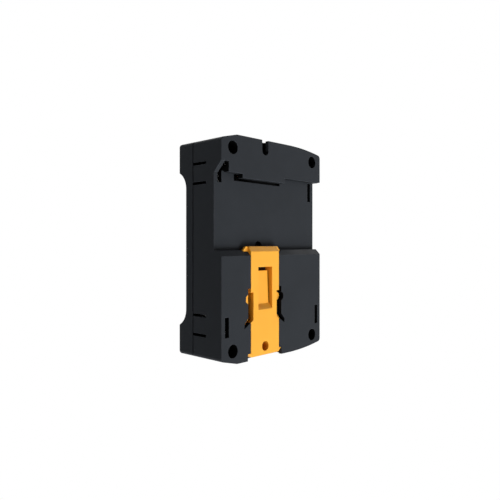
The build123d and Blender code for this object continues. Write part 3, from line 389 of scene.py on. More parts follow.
# Metals: colour, roughness and the direction of the drawn lines
metalDefaults = {
    "roughness": 0.3, "relief": 0.08,
    "blotches": 220.0, "patches": 500.0, "wearAndHighlight": 0.7,
    "dark": 0.86, "pale": 1.06, "wornHighlight": 1.25,      # shares of the colour
    "rougher": 0.08, "smoother": 0.06, "reliefDepth": 0.00003,
}
metalValues = {
    "zinc_steel": {"colour": (0.62, 0.63, 0.64), "stretch": (500.0, 6000.0, 6000.0)},
    "black_steel": {
        "colour": (0.03, 0.03, 0.033), "roughness": 0.5, "stretch": (3000.0, 3000.0, 3000.0), "relief": 0.1,
    },
    "magnet_steel": {
        "colour": (0.3, 0.3, 0.31), "roughness": 0.4, "stretch": (5000.0, 5000.0, 500.0), "relief": 0.12,
    },
    "copper": {"colour": (0.78, 0.36, 0.2), "stretch": (5000.0, 5000.0, 400.0)},
    "tinned_copper": {
        "colour": (0.66, 0.66, 0.63), "roughness": 0.36, "stretch": (4000.0, 4000.0, 400.0),
    },
    "silver": {
        "colour": (0.86, 0.85, 0.82), "roughness": 0.25, "stretch": (4000.0, 4000.0, 4000.0), "relief": 0.06,
    },
    "spring_steel": {"colour": (0.42, 0.43, 0.45), "stretch": (2500.0, 2500.0, 2500.0), "relief": 0.05},
}


def drawnMetal(name, values):
    material, tree, shader = newMaterial(name)
    values = {**metalDefaults, **values}
    colour = values["colour"]
    lines = useGroup(tree, drawnLines, {"Stretch": values["stretch"], "Blotches": values["blotches"]})
    wearAndHighlight = wearAndHighlightOf(tree, values)
    base = blendColour(tree, lines["Tint"], scaled(colour, values["dark"]), scaled(colour, values["pale"]))
    # worn edges drawn lighter, partly wear and partly a painted edge highlight
    base = blendColour(tree, wearAndHighlight["Mask"], base, scaled(colour, values["wornHighlight"]))
    roughest = values["roughness"] + values["rougher"]
    smoothest = values["roughness"] - values["smoother"]
    feed(tree, shader, {
        "Base Color": base,
        "Roughness": varied(tree, lines["Tint"], roughest, smoothest),
        "Metallic": 1.0,
        "Normal": reliefOf(tree, lines["Height"], values),
    })
    return material


# Enamelled wire, with its turns along the Z axis
wireValues = {
    "turns": 2200.0, "grains": 4000.0, "blotches": 300.0,      # per metre
    "valley": (0.16, 0.05, 0.018, 1), "crest": (0.62, 0.24, 0.08, 1),
    "pale": (0.75, 0.32, 0.12, 1), "paleShare": 0.3,
    "roughness": (0.22, 0.38), "metallic": 0.6, "coat": 0.4, "relief": 0.8, "reliefDepth": 0.0002,
}


def enamelledWire(name, values):
    material, tree, shader = newMaterial(name)
    wound = useGroup(tree, woundTurns, {"Turns": values["turns"]})
    grain = grainOf(tree, values)
    # painted shade: the valleys between turns are drawn darker than the crests
    base = blendColour(tree, wound["Tint"], values["valley"], values["crest"])
    base = blendColour(tree, times(tree, grain["Tint"], values["paleShare"]), base, values["pale"])
    feed(tree, shader, {
        "Base Color": base,
        "Roughness": varied(tree, grain["Tint"], *values["roughness"]),
        "Metallic": values["metallic"],
        "Coat Weight": values["coat"],
        "Normal": reliefOf(tree, wound["Height"], values),
    })
    return material


# Tape around the coil; lap is the colour where it lies double
tapeValues = {
    "turns": 110.0, "grains": 900.0, "blotches": 120.0,
    "dark": (0.55, 0.38, 0.06, 1), "light": (0.72, 0.52, 0.1, 1),
    "lap": (0.4, 0.26, 0.03, 1), "lapShare": 0.15,
    "roughness": (0.16, 0.3), "relief": 0.25, "reliefDepth": 0.0001,
}


def polyesterTape(name, values):
    material, tree, shader = newMaterial(name)
    wound = useGroup(tree, woundTurns, {"Turns": values["turns"]})
    grain = grainOf(tree, values)
    base = blendColour(tree, grain["Tint"], values["dark"], values["light"])
    base = blendColour(tree, times(tree, wound["Tint"], values["lapShare"]), base, values["lap"])
    feed(tree, shader, {
        "Base Color": base,
        "Roughness": varied(tree, grain["Tint"], *values["roughness"]),
        "Normal": reliefOf(tree, grain["Height"], values),
    })
    return material


# Circuit board: solder mask over tracks
boardValues = {
    "tracks": 220.0, "gap": 0.045, "soft": 0.2, "stagger": 0.37, "squash": 0.6,
    "grains": 2500.0, "blotches": 150.0,
    "dark": (0.012, 0.11, 0.05, 1), "light": (0.016, 0.15, 0.07, 1), "track": (0.03, 0.26, 0.12, 1),
    "roughness": (0.25, 0.36), "relief": 0.3, "reliefDepth": 0.00005,
}


def solderMask(name, values):
    material, tree, shader = newMaterial(name)
    turned = resultOf(tree, "ShaderNodeMapping", {
        "Vector": objectPlace(tree), "Rotation": (math.radians(90), 0, 0), "Scale": (values["tracks"],) * 3,
    })
    brick = {"Vector": turned, "Scale": 1.0, "Mortar Size": values["gap"], "Mortar Smooth": values["soft"]}
    tracks = resultOf(
        tree, "ShaderNodeTexBrick", brick, output="Fac", offset=values["stagger"], squash=values["squash"],
    )
    grain = grainOf(tree, values)
    base = blendColour(tree, grain["Tint"], values["dark"], values["light"])
    feed(tree, shader, {
        "Base Color": blendColour(tree, tracks, base, values["track"]),
        "Roughness": varied(tree, grain["Tint"], *values["roughness"]),
        "Normal": reliefOf(tree, tracks, values),
    })
    return material


# Clear and milky plastics
clearDefaults = {
    "grains": 1500.0, "blotches": 150.0, "dark": 0.95, "ior": 1.46, "relief": 0.03, "reliefDepth": 0.00002,
}
clearValues = {
    "clear_plastic": {"colour": (0.9, 0.94, 0.95), "roughness": (0.05, 0.11), "clear": 0.92},
    "milkyPlastic": {"colour": (0.86, 0.9, 0.88), "roughness": (0.3, 0.36), "clear": 0.3},
    "led_lens": {"colour": (0.35, 0.85, 0.4), "roughness": (0.2, 0.26), "clear": 0.6},
}


def clearPlastic(name, values):
    material, tree, shader = newMaterial(name)
    values = {**clearDefaults, **values}
    colour = values["colour"]
    grain = grainOf(tree, values)
    feed(tree, shader, {
        "Base Color": blendColour(tree, grain["Tint"], scaled(colour, values["dark"]), scaled(colour, 1.0)),
        "Roughness": varied(tree, grain["Tint"], *values["roughness"]),
        "Transmission Weight": values["clear"],
        "IOR": values["ior"],
        "Normal": reliefOf(tree, grain["Height"], values),
    })
    return material


finishes = {name: mouldedPlastic(name, values) for name, values in plasticValues.items()}
finishes.update({name: drawnMetal(name, values) for name, values in metalValues.items()})
finishes.update({name: clearPlastic(name, values) for name, values in clearValues.items()})
finishes["coil_wire"] = enamelledWire("coil_wire", wireValues)
finishes["tape"] = polyesterTape("tape", tapeValues)
finishes["board"] = solderMask("board", boardValues)
for node in nodes.values():
    for place in node.material_slots:
        place.material = finishes[place.material.name.split(".")[0]]
print("finishes made:", len(finishes))


# Studio
studioValues = {
    "floorDrop": 0.11,        # metres below the casing
    "floorSize": 6.0,
    "floorFade": (0.06, 0.17),  # metres from the middle where it turns from matt to pure white
    "floorColour": (0.9, 0.9, 0.9, 1),
    "floorWhite": 0.8,        # share of white where it is most matt
    "ambient": 0.02,
    "lamps": {
        "low": {"place": (-0.1, 0.7, -0.5), "size": (0.5, 0.4), "watts": 5.7},
        "under": {"place": (0.0, 0.5, -0.75), "size": (0.5, 0.4), "watts": 4.2},
        "rear": {"place": (-0.5, 0.8, 0.0), "size": (0.5, 0.7), "watts": 1.1},
        "side": {"place": (0.9, 0.25, 0.0), "size": (0.4, 0.6), "watts": 1.3},
        "sheen": {"place": (-0.9, 0.0, 0.5), "size": (0.25, 0.25), "watts": 1.5},
        "front": {"place": (-0.5, -0.9, 0.1), "size": (0.6, 0.8), "watts": 5.5},
        "frontTop": {"place": (-0.1, -0.5, 0.8), "size": (0.5, 0.4), "watts": 2.5},
    },
}


def seenDirectly(tree):
    path = addNode(tree, "ShaderNodeLightPath").outputs
    seen = compute(tree, "MAXIMUM", path["Is Camera Ray"], path["Is Glossy Ray"])
    return compute(tree, "MAXIMUM", seen, path["Is Transmission Ray"])


def whiteLight(tree, kind, strength):
    return resultOf(tree, kind, {"Color": (1, 1, 1, 1), "Strength": strength})


def mixShaders(tree, share, first, second):
    return resultOf(tree, "ShaderNodeMixShader", {0: share, 1: first, 2: second})


def makeWorld(ambient):
    world = bpy.data.worlds.new("studioWorld")
    bpy.context.scene.world = world
    world.use_nodes = True
    tree = world.node_tree
    tree.nodes.clear()
    soft = whiteLight(tree, "ShaderNodeBackground", ambient)
    white = whiteLight(tree, "ShaderNodeBackground", 1.0)
    mix = mixShaders(tree, seenDirectly(tree), soft, white)
    feed(tree, addNode(tree, "ShaderNodeOutputWorld"), {0: mix})


def makeLamp(name, values):
    data = bpy.data.lights.new(name, "AREA")
    data.shape = "RECTANGLE"
    data.size, data.size_y = values["size"]
    data.energy = values["watts"]
    lamp = linked(name, data)
    place = Vector(values["place"])
    lamp.location = Vector((0, 0, middleZ)) + place
    lamp.rotation_euler = place.to_track_quat("Z", "Y").to_euler()


def makeFloor(values):
    half = values["floorSize"] / 2
    height = shellLow.z - values["floorDrop"]
    mesh = bpy.data.meshes.new("studioFloor")
    corners = [(-half, -half, height), (half, -half, height), (half, half, height), (-half, half, height)]
    mesh.from_pydata(corners, [], [(0, 1, 2, 3)])
    floor = linked("studioFloor", mesh)
    material, tree, shader = newMaterial("paleFloor")
    tree.nodes.remove(shader)
    matt = resultOf(tree, "ShaderNodeBsdfDiffuse", {"Color": values["floorColour"]})
    white = whiteLight(tree, "ShaderNodeEmission", 1.0)
    away = resultOf(
        tree, "ShaderNodeVectorMath", {0: objectPlace(tree)}, output="Value", operation="LENGTH",
    )
    share = between(tree, away, *values["floorFade"], newLow=values["floorWhite"])
    seen = mixShaders(tree, times(tree, seenDirectly(tree), share), matt, white)
    # lamps under the floor shine through it, as through a light table
    through = addNode(tree, "ShaderNodeBsdfTransparent").outputs[0]
    shadowRay = addNode(tree, "ShaderNodeLightPath").outputs["Is Shadow Ray"]
    feed(tree, tree.nodes["Material Output"], {0: mixShaders(tree, shadowRay, seen, through)})
    mesh.materials.append(material)


makeWorld(studioValues["ambient"])
for lampName, lampValues in studioValues["lamps"].items():
    makeLamp(lampName + "Lamp", lampValues)
makeFloor(studioValues)
bpy.context.scene.view_settings.view_transform = "Standard"
print("studio lit")


# Meshes
meshValues = {
    "merge": 1e-6,        # corners nearer than this become one
    "cut": 1e-7,          # corners this near a cutting plane lie on it
    "flat": 0.5,          # degrees up to which neighbouring faces become one
    "normalWeight": 60,
    "rayLift": 0.00002,
    "edgeReach": 0.2,     # metres that a ray goes, to tell outer edges from inner ones
    "hollowReach": 0.03,  # and to tell how closed in a face is
}


def newPiece(name, mesh, body, replaced=()):
    piece = linked(name, mesh)
    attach(piece, body)
    if replaced:
        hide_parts(*replaced)
    print(name, "made:", len(mesh.polygons), "faces")
    return piece


def standIn(pieceName, values, mesh):
    # a piece in place of a CAD node, on the same body
    nodeName = values["node"]
    return newPiece(pieceName, mesh, nodes[nodeName]["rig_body"], (nodeName,))


def plainMesh(thing, name):
    # what the object's modifiers make of it; the object itself goes
    mesh = bpy.data.meshes.new_from_object(thing.evaluated_get(bpy.context.evaluated_depsgraph_get()))
    mesh.name = name
    thing.modifiers.clear()
    bpy.data.objects.remove(thing)
    return mesh


def meshFrom(work, name, finish):
    mesh = bpy.data.meshes.new(name)
    work.to_mesh(mesh)
    work.free()
    mesh.materials.clear()
    mesh.materials.append(finish)
    return mesh


def spreadRays(count):
    # directions over a half sphere around +Z, denser near the pole
    turn = math.pi * (3 - math.sqrt(5))
    for index in range(count):
        rise = math.sqrt(1 - (index + 0.5) / count)
        flat = math.sqrt(1 - rise * rise)
        yield Vector((math.cos(index * turn) * flat, math.sin(index * turn) * flat, rise))


fewRays = list(spreadRays(12))
manyRays = list(spreadRays(40))


def blockedShare(tree, place, normal, rays, reach):
    turned = Vector((0, 0, 1)).rotation_difference(normal)
    start = place + normal * meshValues["rayLift"]
    hits = 0
    for ray in rays:
        if tree.ray_cast(start, turned @ ray, reach)[0] is not None:
            hits += 1
    return hits / len(rays)


def evenNormals(mesh, sharpAngle, creases=()):
    for face in mesh.polygons:
        face.use_smooth = True
    mesh.set_sharp_from_angle(angle=math.radians(sharpAngle))
    for index in creases:
        mesh.edges[index].use_edge_sharp = True
    carrier = linked("carrier", mesh)
    weigh = carrier.modifiers.new("evenNormals", "WEIGHTED_NORMAL")
    weigh.mode = "FACE_AREA"
    weigh.weight = meshValues["normalWeight"]
    weigh.keep_sharp = True
    return plainMesh(carrier, mesh.name)


def frontMiddle(nodeName):
    low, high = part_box(nodeName)
    return ((low.x + high.x) / 2, low.y, (low.z + high.z) / 2)


def cadTree(nodeName):
    mesh = nodes[nodeName].data
    return BVHTree.FromPolygons([v.co for v in mesh.vertices], [f.vertices for f in mesh.polygons])


def openWindow(work, values):
    # a narrower tongue, and walls cut at its face so that the slits behind it get their own painted shade
    lowest, highest = values["tilt"]
    leaning = [face for face in work.faces if lowest < face.normal.z < highest]
    tongue = max(leaning, key=lambda face: face.calc_area())
    centre = tongue.calc_center_median()
    walls = []
    for face in work.faces:
        away = face.calc_center_median() - centre
        if abs(face.normal.x) > values["sideways"] and max(abs(away.x), abs(away.z)) < values["reach"]:
            walls.append(face)
    edges = {edge for face in walls for edge in face.edges}
    point = centre - tongue.normal * values["behind"]
    rim = {face for edge in tongue.edges for face in edge.link_faces if face is not tongue}
    for face in rim:
        if abs(face.normal.x) > values["sideways"]:
            bmesh.ops.translate(work, verts=face.verts, vec=-face.normal * values["slit"])
        elif face.normal.z > values["upwards"]:
            bmesh.ops.translate(work, verts=face.verts, vec=tongue.normal.cross((1, 0, 0)) * values["gap"])
    bmesh.ops.bisect_plane(
        work, geom=[*walls, *edges], dist=meshValues["cut"], plane_co=point, plane_no=tongue.normal,
    )


def outerEdges(work, fromAngle):
    # convex edges that can be reached from outside
    tree = BVHTree.FromBMesh(work)
    found = []
    for edge in work.edges:
        if not edge.is_manifold or not edge.is_convex or edge.calc_face_angle(0) < fromAngle:
            continue
        normal = (edge.link_faces[0].normal + edge.link_faces[1].normal).normalized()
        middle = (edge.verts[0].co + edge.verts[1].co) / 2
        if blockedShare(tree, middle, normal, fewRays, meshValues["edgeReach"]) < 1:
            found.append(edge)
    return found


def innerEdges(work, fromAngle):
    # concave corners, which stay crisp
    work.edges.index_update()
    inner = [edge for edge in work.edges if edge.is_manifold and not edge.is_convex]
    return [edge.index for edge in inner if edge.calc_face_angle(0) > fromAngle]


def softenedCopy(values):
    # the CAD mesh with its outer edges rounded, a mask for worn and painted-highlight edges, and a blocked
    # share for painted shade in hollows and seams
    values = {**roundedDefaults, **values}
    nodeName = values["node"]
    work = bmesh.new()
    work.from_mesh(nodes[nodeName].data)
    bmesh.ops.remove_doubles(work, verts=work.verts, dist=meshValues["merge"])
    flat = math.radians(meshValues["flat"])
    bmesh.ops.dissolve_limit(work, angle_limit=flat, verts=work.verts, edges=work.edges)
    work.normal_update()
    if "window" in values:
        openWindow(work, values["window"])
        work.normal_update()
    outer = outerEdges(work, math.radians(values["bevelFrom"]))
    edgeMask = work.faces.layers.float.new("edgeMask")
    made = bmesh.ops.bevel(
        work, geom=outer, offset=values["round"], offset_type="OFFSET", segments=3, profile=0.5,
        affect="EDGES", clamp_overlap=False,
    )
    for face in made["faces"]:
        face[edgeMask] = 1.0
    low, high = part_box(nodeName)
    for vert in work.verts:
        vert.co = [min(max(c, a), b) for c, a, b in zip(vert.co, low, high)]
    # painted shade: the share of rays blocked from each face darkens it in the finish
    hollow = work.faces.layers.float.new("hollow")
    work.normal_update()
    neighbours = [cadTree(other) for other in values["beside"]]
    trees = [BVHTree.FromBMesh(work), *neighbours]
    for face in work.faces:
        middle = face.calc_center_median()
        face[hollow] = max(
            blockedShare(tree, middle, face.normal, manyRays, meshValues["hollowReach"]) for tree in trees
        )
        # painted shade: rounded edges against the pieces beside get full shade, a dark seam line
        if face[edgeMask] and any(tree.find_nearest(middle, values["seam"])[0] for tree in neighbours):
            face[edgeMask] = 0.0
            face[hollow] = 1.0
    creases = innerEdges(work, math.radians(values["creaseFrom"]))
    mesh = meshFrom(work, nodeName + "Soft", finishes[values["slot"]])
    return evenNormals(mesh, values["sharpAngle"], creases)


# Rounded pieces: round is the width of the rounding, bevelFrom the angle from which an edge gets one,
# and seam how near the pieces beside it a rounded edge gets painted shade in place of its highlight
roundedDefaults = {"bevelFrom": 24, "sharpAngle": 34, "creaseFrom": 24, "beside": (), "seam": 0.0}
windowValues = {
    "slit": 0.35 * mm, "gap": 0.4 * mm,      # how much narrower and shorter the tongue becomes
    "tilt": (0.01, 0.1),                     # how far its face looks up
    "sideways": 0.99, "upwards": 0.9,        # how squarely the faces around it look that way
    "reach": 5 * mm, "behind": 0.02 * mm,
}
shellLook = {"slot": "housing_plastic", "round": 0.16 * mm, "seam": 0.2 * mm}
casingValues = {
    "rearShell": {"node": "rear_housing", "beside": ("front_cover",), **shellLook},
    "frontShell": {"node": "front_cover", "beside": ("rear_housing",), **shellLook},
    "slidingLatch": {
        "node": "din_latch", "slot": "latch_plastic", "round": 0.2 * mm, "window": windowValues,
    },
    "contactBlock": {
        "node": "contact_base", "slot": "base_plastic", "round": 0.15 * mm, "bevelFrom": 40,
        "beside": ("rear_housing", "front_cover"),
    },
}
for pieceName, values in casingValues.items():
    standIn(pieceName, values, softenedCopy(values))


# Geometry Nodes: screws, grip ribs and springs
def newShapeTree(name, inputs):
    tree = bpy.data.node_groups.new(name, "GeometryNodeTree")
    for way in ("INPUT", "OUTPUT"):
        tree.interface.new_socket("Geometry", in_out=way, socket_type="NodeSocketGeometry")
    kinds = {bool: "Bool", int: "Int", float: "Float", tuple: "Vector"}
    for label, value in inputs.items():
        kind = "NodeSocket" + kinds[type(value)]
        tree.interface.new_socket(label, in_out="INPUT", socket_type=kind).default_value = value
    tree.interface.new_socket("Finish", in_out="INPUT", socket_type="NodeSocketMaterial")
    return tree, addNode(tree, "NodeGroupInput").outputs, addNode(tree, "NodeGroupOutput")


def xyz(tree, x=0.0, y=0.0, z=0.0):
    return resultOf(tree, "ShaderNodeCombineXYZ", {0: x, 1: y, 2: z})


def raised(tree, shape, height):
    return resultOf(tree, "GeometryNodeTransform", {"Geometry": shape, "Translation": xyz(tree, z=height)})


def joined(tree, *shapes, kind="GeometryNodeJoinGeometry", into="Geometry", **settings):
    node = addNode(tree, kind, **settings)
    for shape in shapes:
        tree.links.new(shape, node.inputs[into])
    return node.outputs[0]


def united(tree, *shapes):
    return joined(tree, *shapes, kind="GeometryNodeMeshBoolean", into="Mesh 2", operation="UNION")


def block(tree, x, y, z):
    return resultOf(tree, "GeometryNodeMeshCube", {"Size": xyz(tree, x, y, z)})


def rod(tree, radius, length, sides):
    given = {"Vertices": sides, "Radius": radius, "Depth": length}
    return resultOf(tree, "GeometryNodeMeshCylinder", given)


def circle(tree, radius, steps):
    return resultOf(tree, "GeometryNodeCurvePrimitiveCircle", {"Resolution": steps, "Radius": radius})


def spiral(tree, radius, height, turns, steps):
    given = {"Resolution": steps, "Rotations": turns, "Height": height}
    return resultOf(tree, "GeometryNodeCurveSpiral", {**given, "Start Radius": radius, "End Radius": radius})


def swept(tree, path, section):
    given = {"Curve": path, "Profile Curve": section, "Fill Caps": True}
    return resultOf(tree, "GeometryNodeCurveToMesh", given)


def onPoints(tree, points, shape, **placing):
    given = {"Points": points, "Instance": shape, **placing}
    return resultOf(tree, "GeometryNodeInstanceOnPoints", given)


def along(tree, direction, distance):
    return resultOf(tree, "ShaderNodeVectorMath", {0: direction, "Scale": distance}, operation="SCALE")


def finished(tree, shape, finish, out):
    real = resultOf(tree, "GeometryNodeRealizeInstances", {"Geometry": shape})
    feed(tree, out, {0: resultOf(tree, "GeometryNodeSetMaterial", {"Geometry": real, "Material": finish})})


terminalScrewSizes = {
    "Head Radius": 2.7 * mm, "Head Height": 2.2 * mm, "Shank Radius": 1.74 * mm,
    "Slot Width": 0.8 * mm, "Slot Depth": 0.9 * mm, "Cross": False,
    "Thread Pitch": 0.6 * mm, "Thread Depth": 0.22 * mm,
    "Turn": (math.radians(90), 0.0, 0.0), "Seed": 7,
}
casingScrewSizes = {
    "Head Radius": 2.75 * mm, "Head Height": 2.0 * mm, "Shank Radius": 1.38 * mm,
    "Slot Width": 0.8 * mm, "Slot Depth": 1.0 * mm, "Cross": True,
    "Thread Pitch": 1.1 * mm, "Thread Depth": 0.25 * mm,
    "Turn": (math.radians(-90), 0.0, 0.0), "Seed": 3,
}
screwShares = {
    "rim": 0.12, "slot": 2.4, "cross": 1.25,      # of the head's radius
    "threaded": 0.9,                              # of the shank's length
    "turn": 0.6,                                  # radians either way
}


def makeScrewTree(sizes, shares):
    # a screw at each point, its head's face at the point
    tree, given, out = newShapeTree("screwsInPlace", {**sizes, "Length": 4.3 * mm})
    headSides = 48
    headRadius = given["Head Radius"]
    headHeight = given["Head Height"]
    rim = times(tree, headRadius, shares["rim"])
    drum = rod(tree, headRadius, minus(tree, headHeight, rim), headSides)
    drum = raised(tree, drum, times(tree, plus(tree, headHeight, rim), -0.5))
    crownTop = minus(tree, headRadius, rim)
    crownSizes = {"Vertices": headSides, "Radius Top": crownTop, "Radius Bottom": headRadius, "Depth": rim}
    crown = resultOf(tree, "GeometryNodeMeshCone", crownSizes)
    crown = raised(tree, crown, times(tree, rim, -1.0))
    head = united(tree, drum, crown)

    cutDepth = times(tree, given["Slot Depth"], 2.0)
    slotLength = times(tree, headRadius, shares["slot"])
    crossLength = times(tree, headRadius, shares["cross"])
    slot = block(tree, slotLength, given["Slot Width"], cutDepth)
    cross = united(
        tree,
        block(tree, crossLength, given["Slot Width"], cutDepth),
        block(tree, given["Slot Width"], crossLength, cutDepth),
    )
    eitherCut = {"Switch": given["Cross"], "False": slot, "True": cross}
    cutter = resultOf(tree, "GeometryNodeSwitch", eitherCut, input_type="GEOMETRY")
    cutting = {"Mesh 1": head, "Mesh 2": cutter}
    cutHead = resultOf(tree, "GeometryNodeMeshBoolean", cutting, operation="DIFFERENCE")

    shankLength = minus(tree, given["Length"], headHeight)
    core = minus(tree, given["Shank Radius"], given["Thread Depth"])
    shank = rod(tree, core, shankLength, sides=32)
    shank = raised(tree, shank, times(tree, plus(tree, given["Length"], headHeight), -0.5))
    threaded = times(tree, shankLength, shares["threaded"])
    turns = compute(tree, "DIVIDE", threaded, given["Thread Pitch"])
    path = spiral(tree, core, threaded, turns, steps=28)
    thread = swept(tree, path, circle(tree, given["Thread Depth"], steps=4))
    thread = raised(tree, thread, times(tree, minus(tree, given["Length"], rim), -1.0))

    screw = joined(tree, cutHead, shank, thread)
    spread = onPoints(tree, given["Geometry"], screw, Rotation=given["Turn"])
    turnRange = {2: -shares["turn"], 3: shares["turn"], "Seed": given["Seed"]}
    anyTurn = resultOf(tree, "FunctionNodeRandomValue", turnRange, output=1, data_type="FLOAT")
    turned = resultOf(tree, "GeometryNodeRotateInstances", {
        "Instances": spread, "Rotation": xyz(tree, z=anyTurn), "Local Space": True,
    })
    finished(tree, turned, given["Finish"], out)
    return tree


def makeRibTree():
    # half-round ribs in a row on the piece's face, running upright or across
    tree, given, out = newShapeTree("gripRibs", {
        "Count": 5, "Pitch": 1.1 * mm, "Radius": 0.3 * mm, "Length": 3.6 * mm,
        "Middle": (0.0, 0.0, 0.0), "Direction": (1.0, 0.0, 0.0), "Turn": (0.0, 0.0, 0.0),
    })
    rib = rod(tree, given["Radius"], given["Length"], sides=20)
    reach = times(tree, given["Pitch"], minus(tree, given["Count"], 1.0))
    back = along(tree, given["Direction"], times(tree, reach, -0.5))
    start = resultOf(tree, "ShaderNodeVectorMath", {0: given["Middle"], 1: back}, operation="ADD")
    step = along(tree, given["Direction"], given["Pitch"])
    places = {"Count": given["Count"], "Start Location": start, "Offset": step}
    row = resultOf(tree, "GeometryNodeMeshLine", places, mode="OFFSET")
    ribs = onPoints(tree, row, rib, Rotation=given["Turn"])
    finished(tree, joined(tree, given["Geometry"], ribs), given["Finish"], out)
    return tree


def makeSpringTree():
    # a wound spring standing on each point, with a closed turn at either end
    tree, given, out = newShapeTree("coilSprings", {
        "Radius": 2.0 * mm, "Wire": 0.5 * mm, "Turns": 5.0, "Height": 6.0 * mm,
    })
    half = times(tree, given["Wire"], 0.5)
    middle = minus(tree, given["Radius"], half)
    wound = spiral(tree, middle, minus(tree, given["Height"], given["Wire"]), given["Turns"], steps=32)
    ring = circle(tree, middle, steps=40)
    lower = raised(tree, ring, half)
    upper = raised(tree, ring, minus(tree, given["Height"], half))
    path = joined(tree, raised(tree, wound, half), lower, upper)
    wire = swept(tree, path, circle(tree, half, steps=12))
    finished(tree, onPoints(tree, given["Geometry"], wire), given["Finish"], out)
    return tree


screwTree = makeScrewTree(terminalScrewSizes, screwShares)
ribTree = makeRibTree()
springTree = makeSpringTree()


def runTree(tree, name, mesh, values):
    carrier = linked(name + "Carrier", mesh)
    modifier = carrier.modifiers.new("shape", "NODES")
    modifier.node_group = tree
    for item in tree.interface.items_tree:
        if item.in_out == "INPUT" and item.name in values:
            modifier[item.identifier] = values[item.name]
    return plainMesh(carrier, name)


def pointMesh(name, places):
    mesh = bpy.data.meshes.new(name)
    mesh.from_pydata(places, [], [])
    return mesh


def spaced(low, high, margin, count):
    # places in a row from margin inside low to margin inside high, or one in the middle
    if count == 1:
        return [(low + high) / 2]
    return [low + margin + (high - low - 2 * margin) * i / (count - 1) for i in range(count)]


# Screws: a row or a grid of them, with their heads at the node's front or back
terminalRow = {
    "slot": "zinc_steel", "sizes": terminalScrewSizes, "columns": 4, "rows": 1, "headAtBack": False,
}
screwValues = {
    "terminalScrewsTop": {"node": "terminal_screws_top", **terminalRow},
    "terminalScrewsBottom": {"node": "terminal_screws_bottom", **terminalRow},
    "casingScrews": {
        "node": "housing_screws", "slot": "black_steel", "sizes": casingScrewSizes,
        "columns": 2, "rows": 2, "headAtBack": True,
    },
}
for pieceName, values in screwValues.items():
    low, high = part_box(values["node"])
    radius = values["sizes"]["Head Radius"]
    across = spaced(low.x, high.x, radius, values["columns"])
    up = spaced(low.z, high.z, radius, values["rows"])
    faceY = high.y if values["headAtBack"] else low.y
    points = pointMesh(pieceName + "Points", [(x, faceY, z) for x in across for z in up])
    given = {**values["sizes"], "Length": high.y - low.y, "Finish": finishes[values["slot"]]}
    mesh = evenNormals(runTree(screwTree, pieceName, points, given), sharpAngle=30)
    standIn(pieceName, values, mesh)


# Small controls and the label, two of them with ribs to grip
smallValues = {
    "labelCard": {"node": "label_plate", "slot": "label_plastic", "round": 0.12 * mm},
    "windowLens": {"node": "flag_window", "slot": "clear_plastic", "round": 0.1 * mm},
    "flagPlate": {"node": "position_flag", "slot": "flag_red", "round": 0.15 * mm},
    "manualSlide": {
        "node": "manual_actuator", "slot": "control_grey", "round": 0.25 * mm,
        "ribs": {
            "Count": 3, "Pitch": 0.75 * mm, "Radius": 0.18 * mm, "Length": 2.3 * mm,
            "Direction": (0.0, 0.0, 1.0), "Turn": (0.0, math.radians(90), 0.0),
        },
    },
    "selectorGrip": {
        "node": "selector_knob", "slot": "control_grey", "round": 0.35 * mm,
        "ribs": {
            "Count": 5, "Pitch": 1.15 * mm, "Radius": 0.28 * mm, "Length": 3.8 * mm,
            "Direction": (1.0, 0.0, 0.0), "Turn": (0.0, 0.0, 0.0),
        },
    },
}
for pieceName, values in smallValues.items():
    mesh = softenedCopy({"bevelFrom": 40, **values})
    if "ribs" in values:
        middle = frontMiddle(values["node"])
        given = {**values["ribs"], "Middle": middle, "Finish": finishes[values["slot"]]}
        mesh = evenNormals(runTree(ribTree, pieceName, mesh, given), roundedDefaults["sharpAngle"])
    standIn(pieceName, values, mesh)


# Springs: a wound coil in place of each spring node
springLook = {"slot": "spring_steel", "turns": 5.0}
springValues = {
    "returnSpring": {
        "node": "return_spring", "wire": 0.7 * mm,
        "joint": "carrier_slide", "stroke": 3.0 * mm, **springLook,
    },
}
for pole in ("1", "2", "3"):
    springValues["contactSpring_" + pole] = {
        "node": "contact_spring_" + pole, "wire": 0.5 * mm,
        "joint": "bridge_wipe_" + pole, "stroke": 0.6 * mm, **springLook,
    }
for pieceName, values in springValues.items():
    low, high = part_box(values["node"])
    foot = ((low.x + high.x) / 2, (low.y + high.y) / 2, low.z)
    tall = high.z - low.z
    given = {
        "Radius": (high.x - low.x) / 2, "Wire": values["wire"], "Turns": values["turns"], "Height": tall,
        "Finish": finishes[values["slot"]],
    }
    points = pointMesh(pieceName + "Points", [foot])
    mesh = evenNormals(runTree(springTree, pieceName, points, given), sharpAngle=60)
    piece = standIn(pieceName, values, mesh)
    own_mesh(piece)


# Turned pieces: the test button with its dished face and the domed light pipe
turnedValues = {
    "testCap": {
        "node": "test_button", "slot": "control_grey", "finish": "control_grey",
        # radius and distance behind the front face, in millimetres
        "profile": (
            (0.0, 0.5), (0.9, 0.47), (1.7, 0.36), (2.35, 0.16), (2.7, 0.03), (2.85, 0.0), (3.0, 0.05),
            (3.13, 0.17), (3.18, 0.35), (3.2, 3.0), (3.9, 3.0), (3.9, 3.8), (0.0, 3.8),
        ),
    },
    "pipeDome": {
        "node": "light_pipe", "slot": "clear_plastic", "finish": "milkyPlastic",
        "profile": (
            (0.0, 0.0), (0.45, 0.02), (0.85, 0.09), (1.15, 0.2), (1.37, 0.36), (1.47, 0.52), (1.5, 0.7),
            (1.5, 1.8), (2.1, 1.8), (2.1, 2.4), (1.5, 2.4), (1.5, 3.55), (0.0, 3.55),
        ),
    },
}
wornRing = {"from": 2.4 * mm, "to": 3.2 * mm, "mask": 0.25}      # around the middle of the face


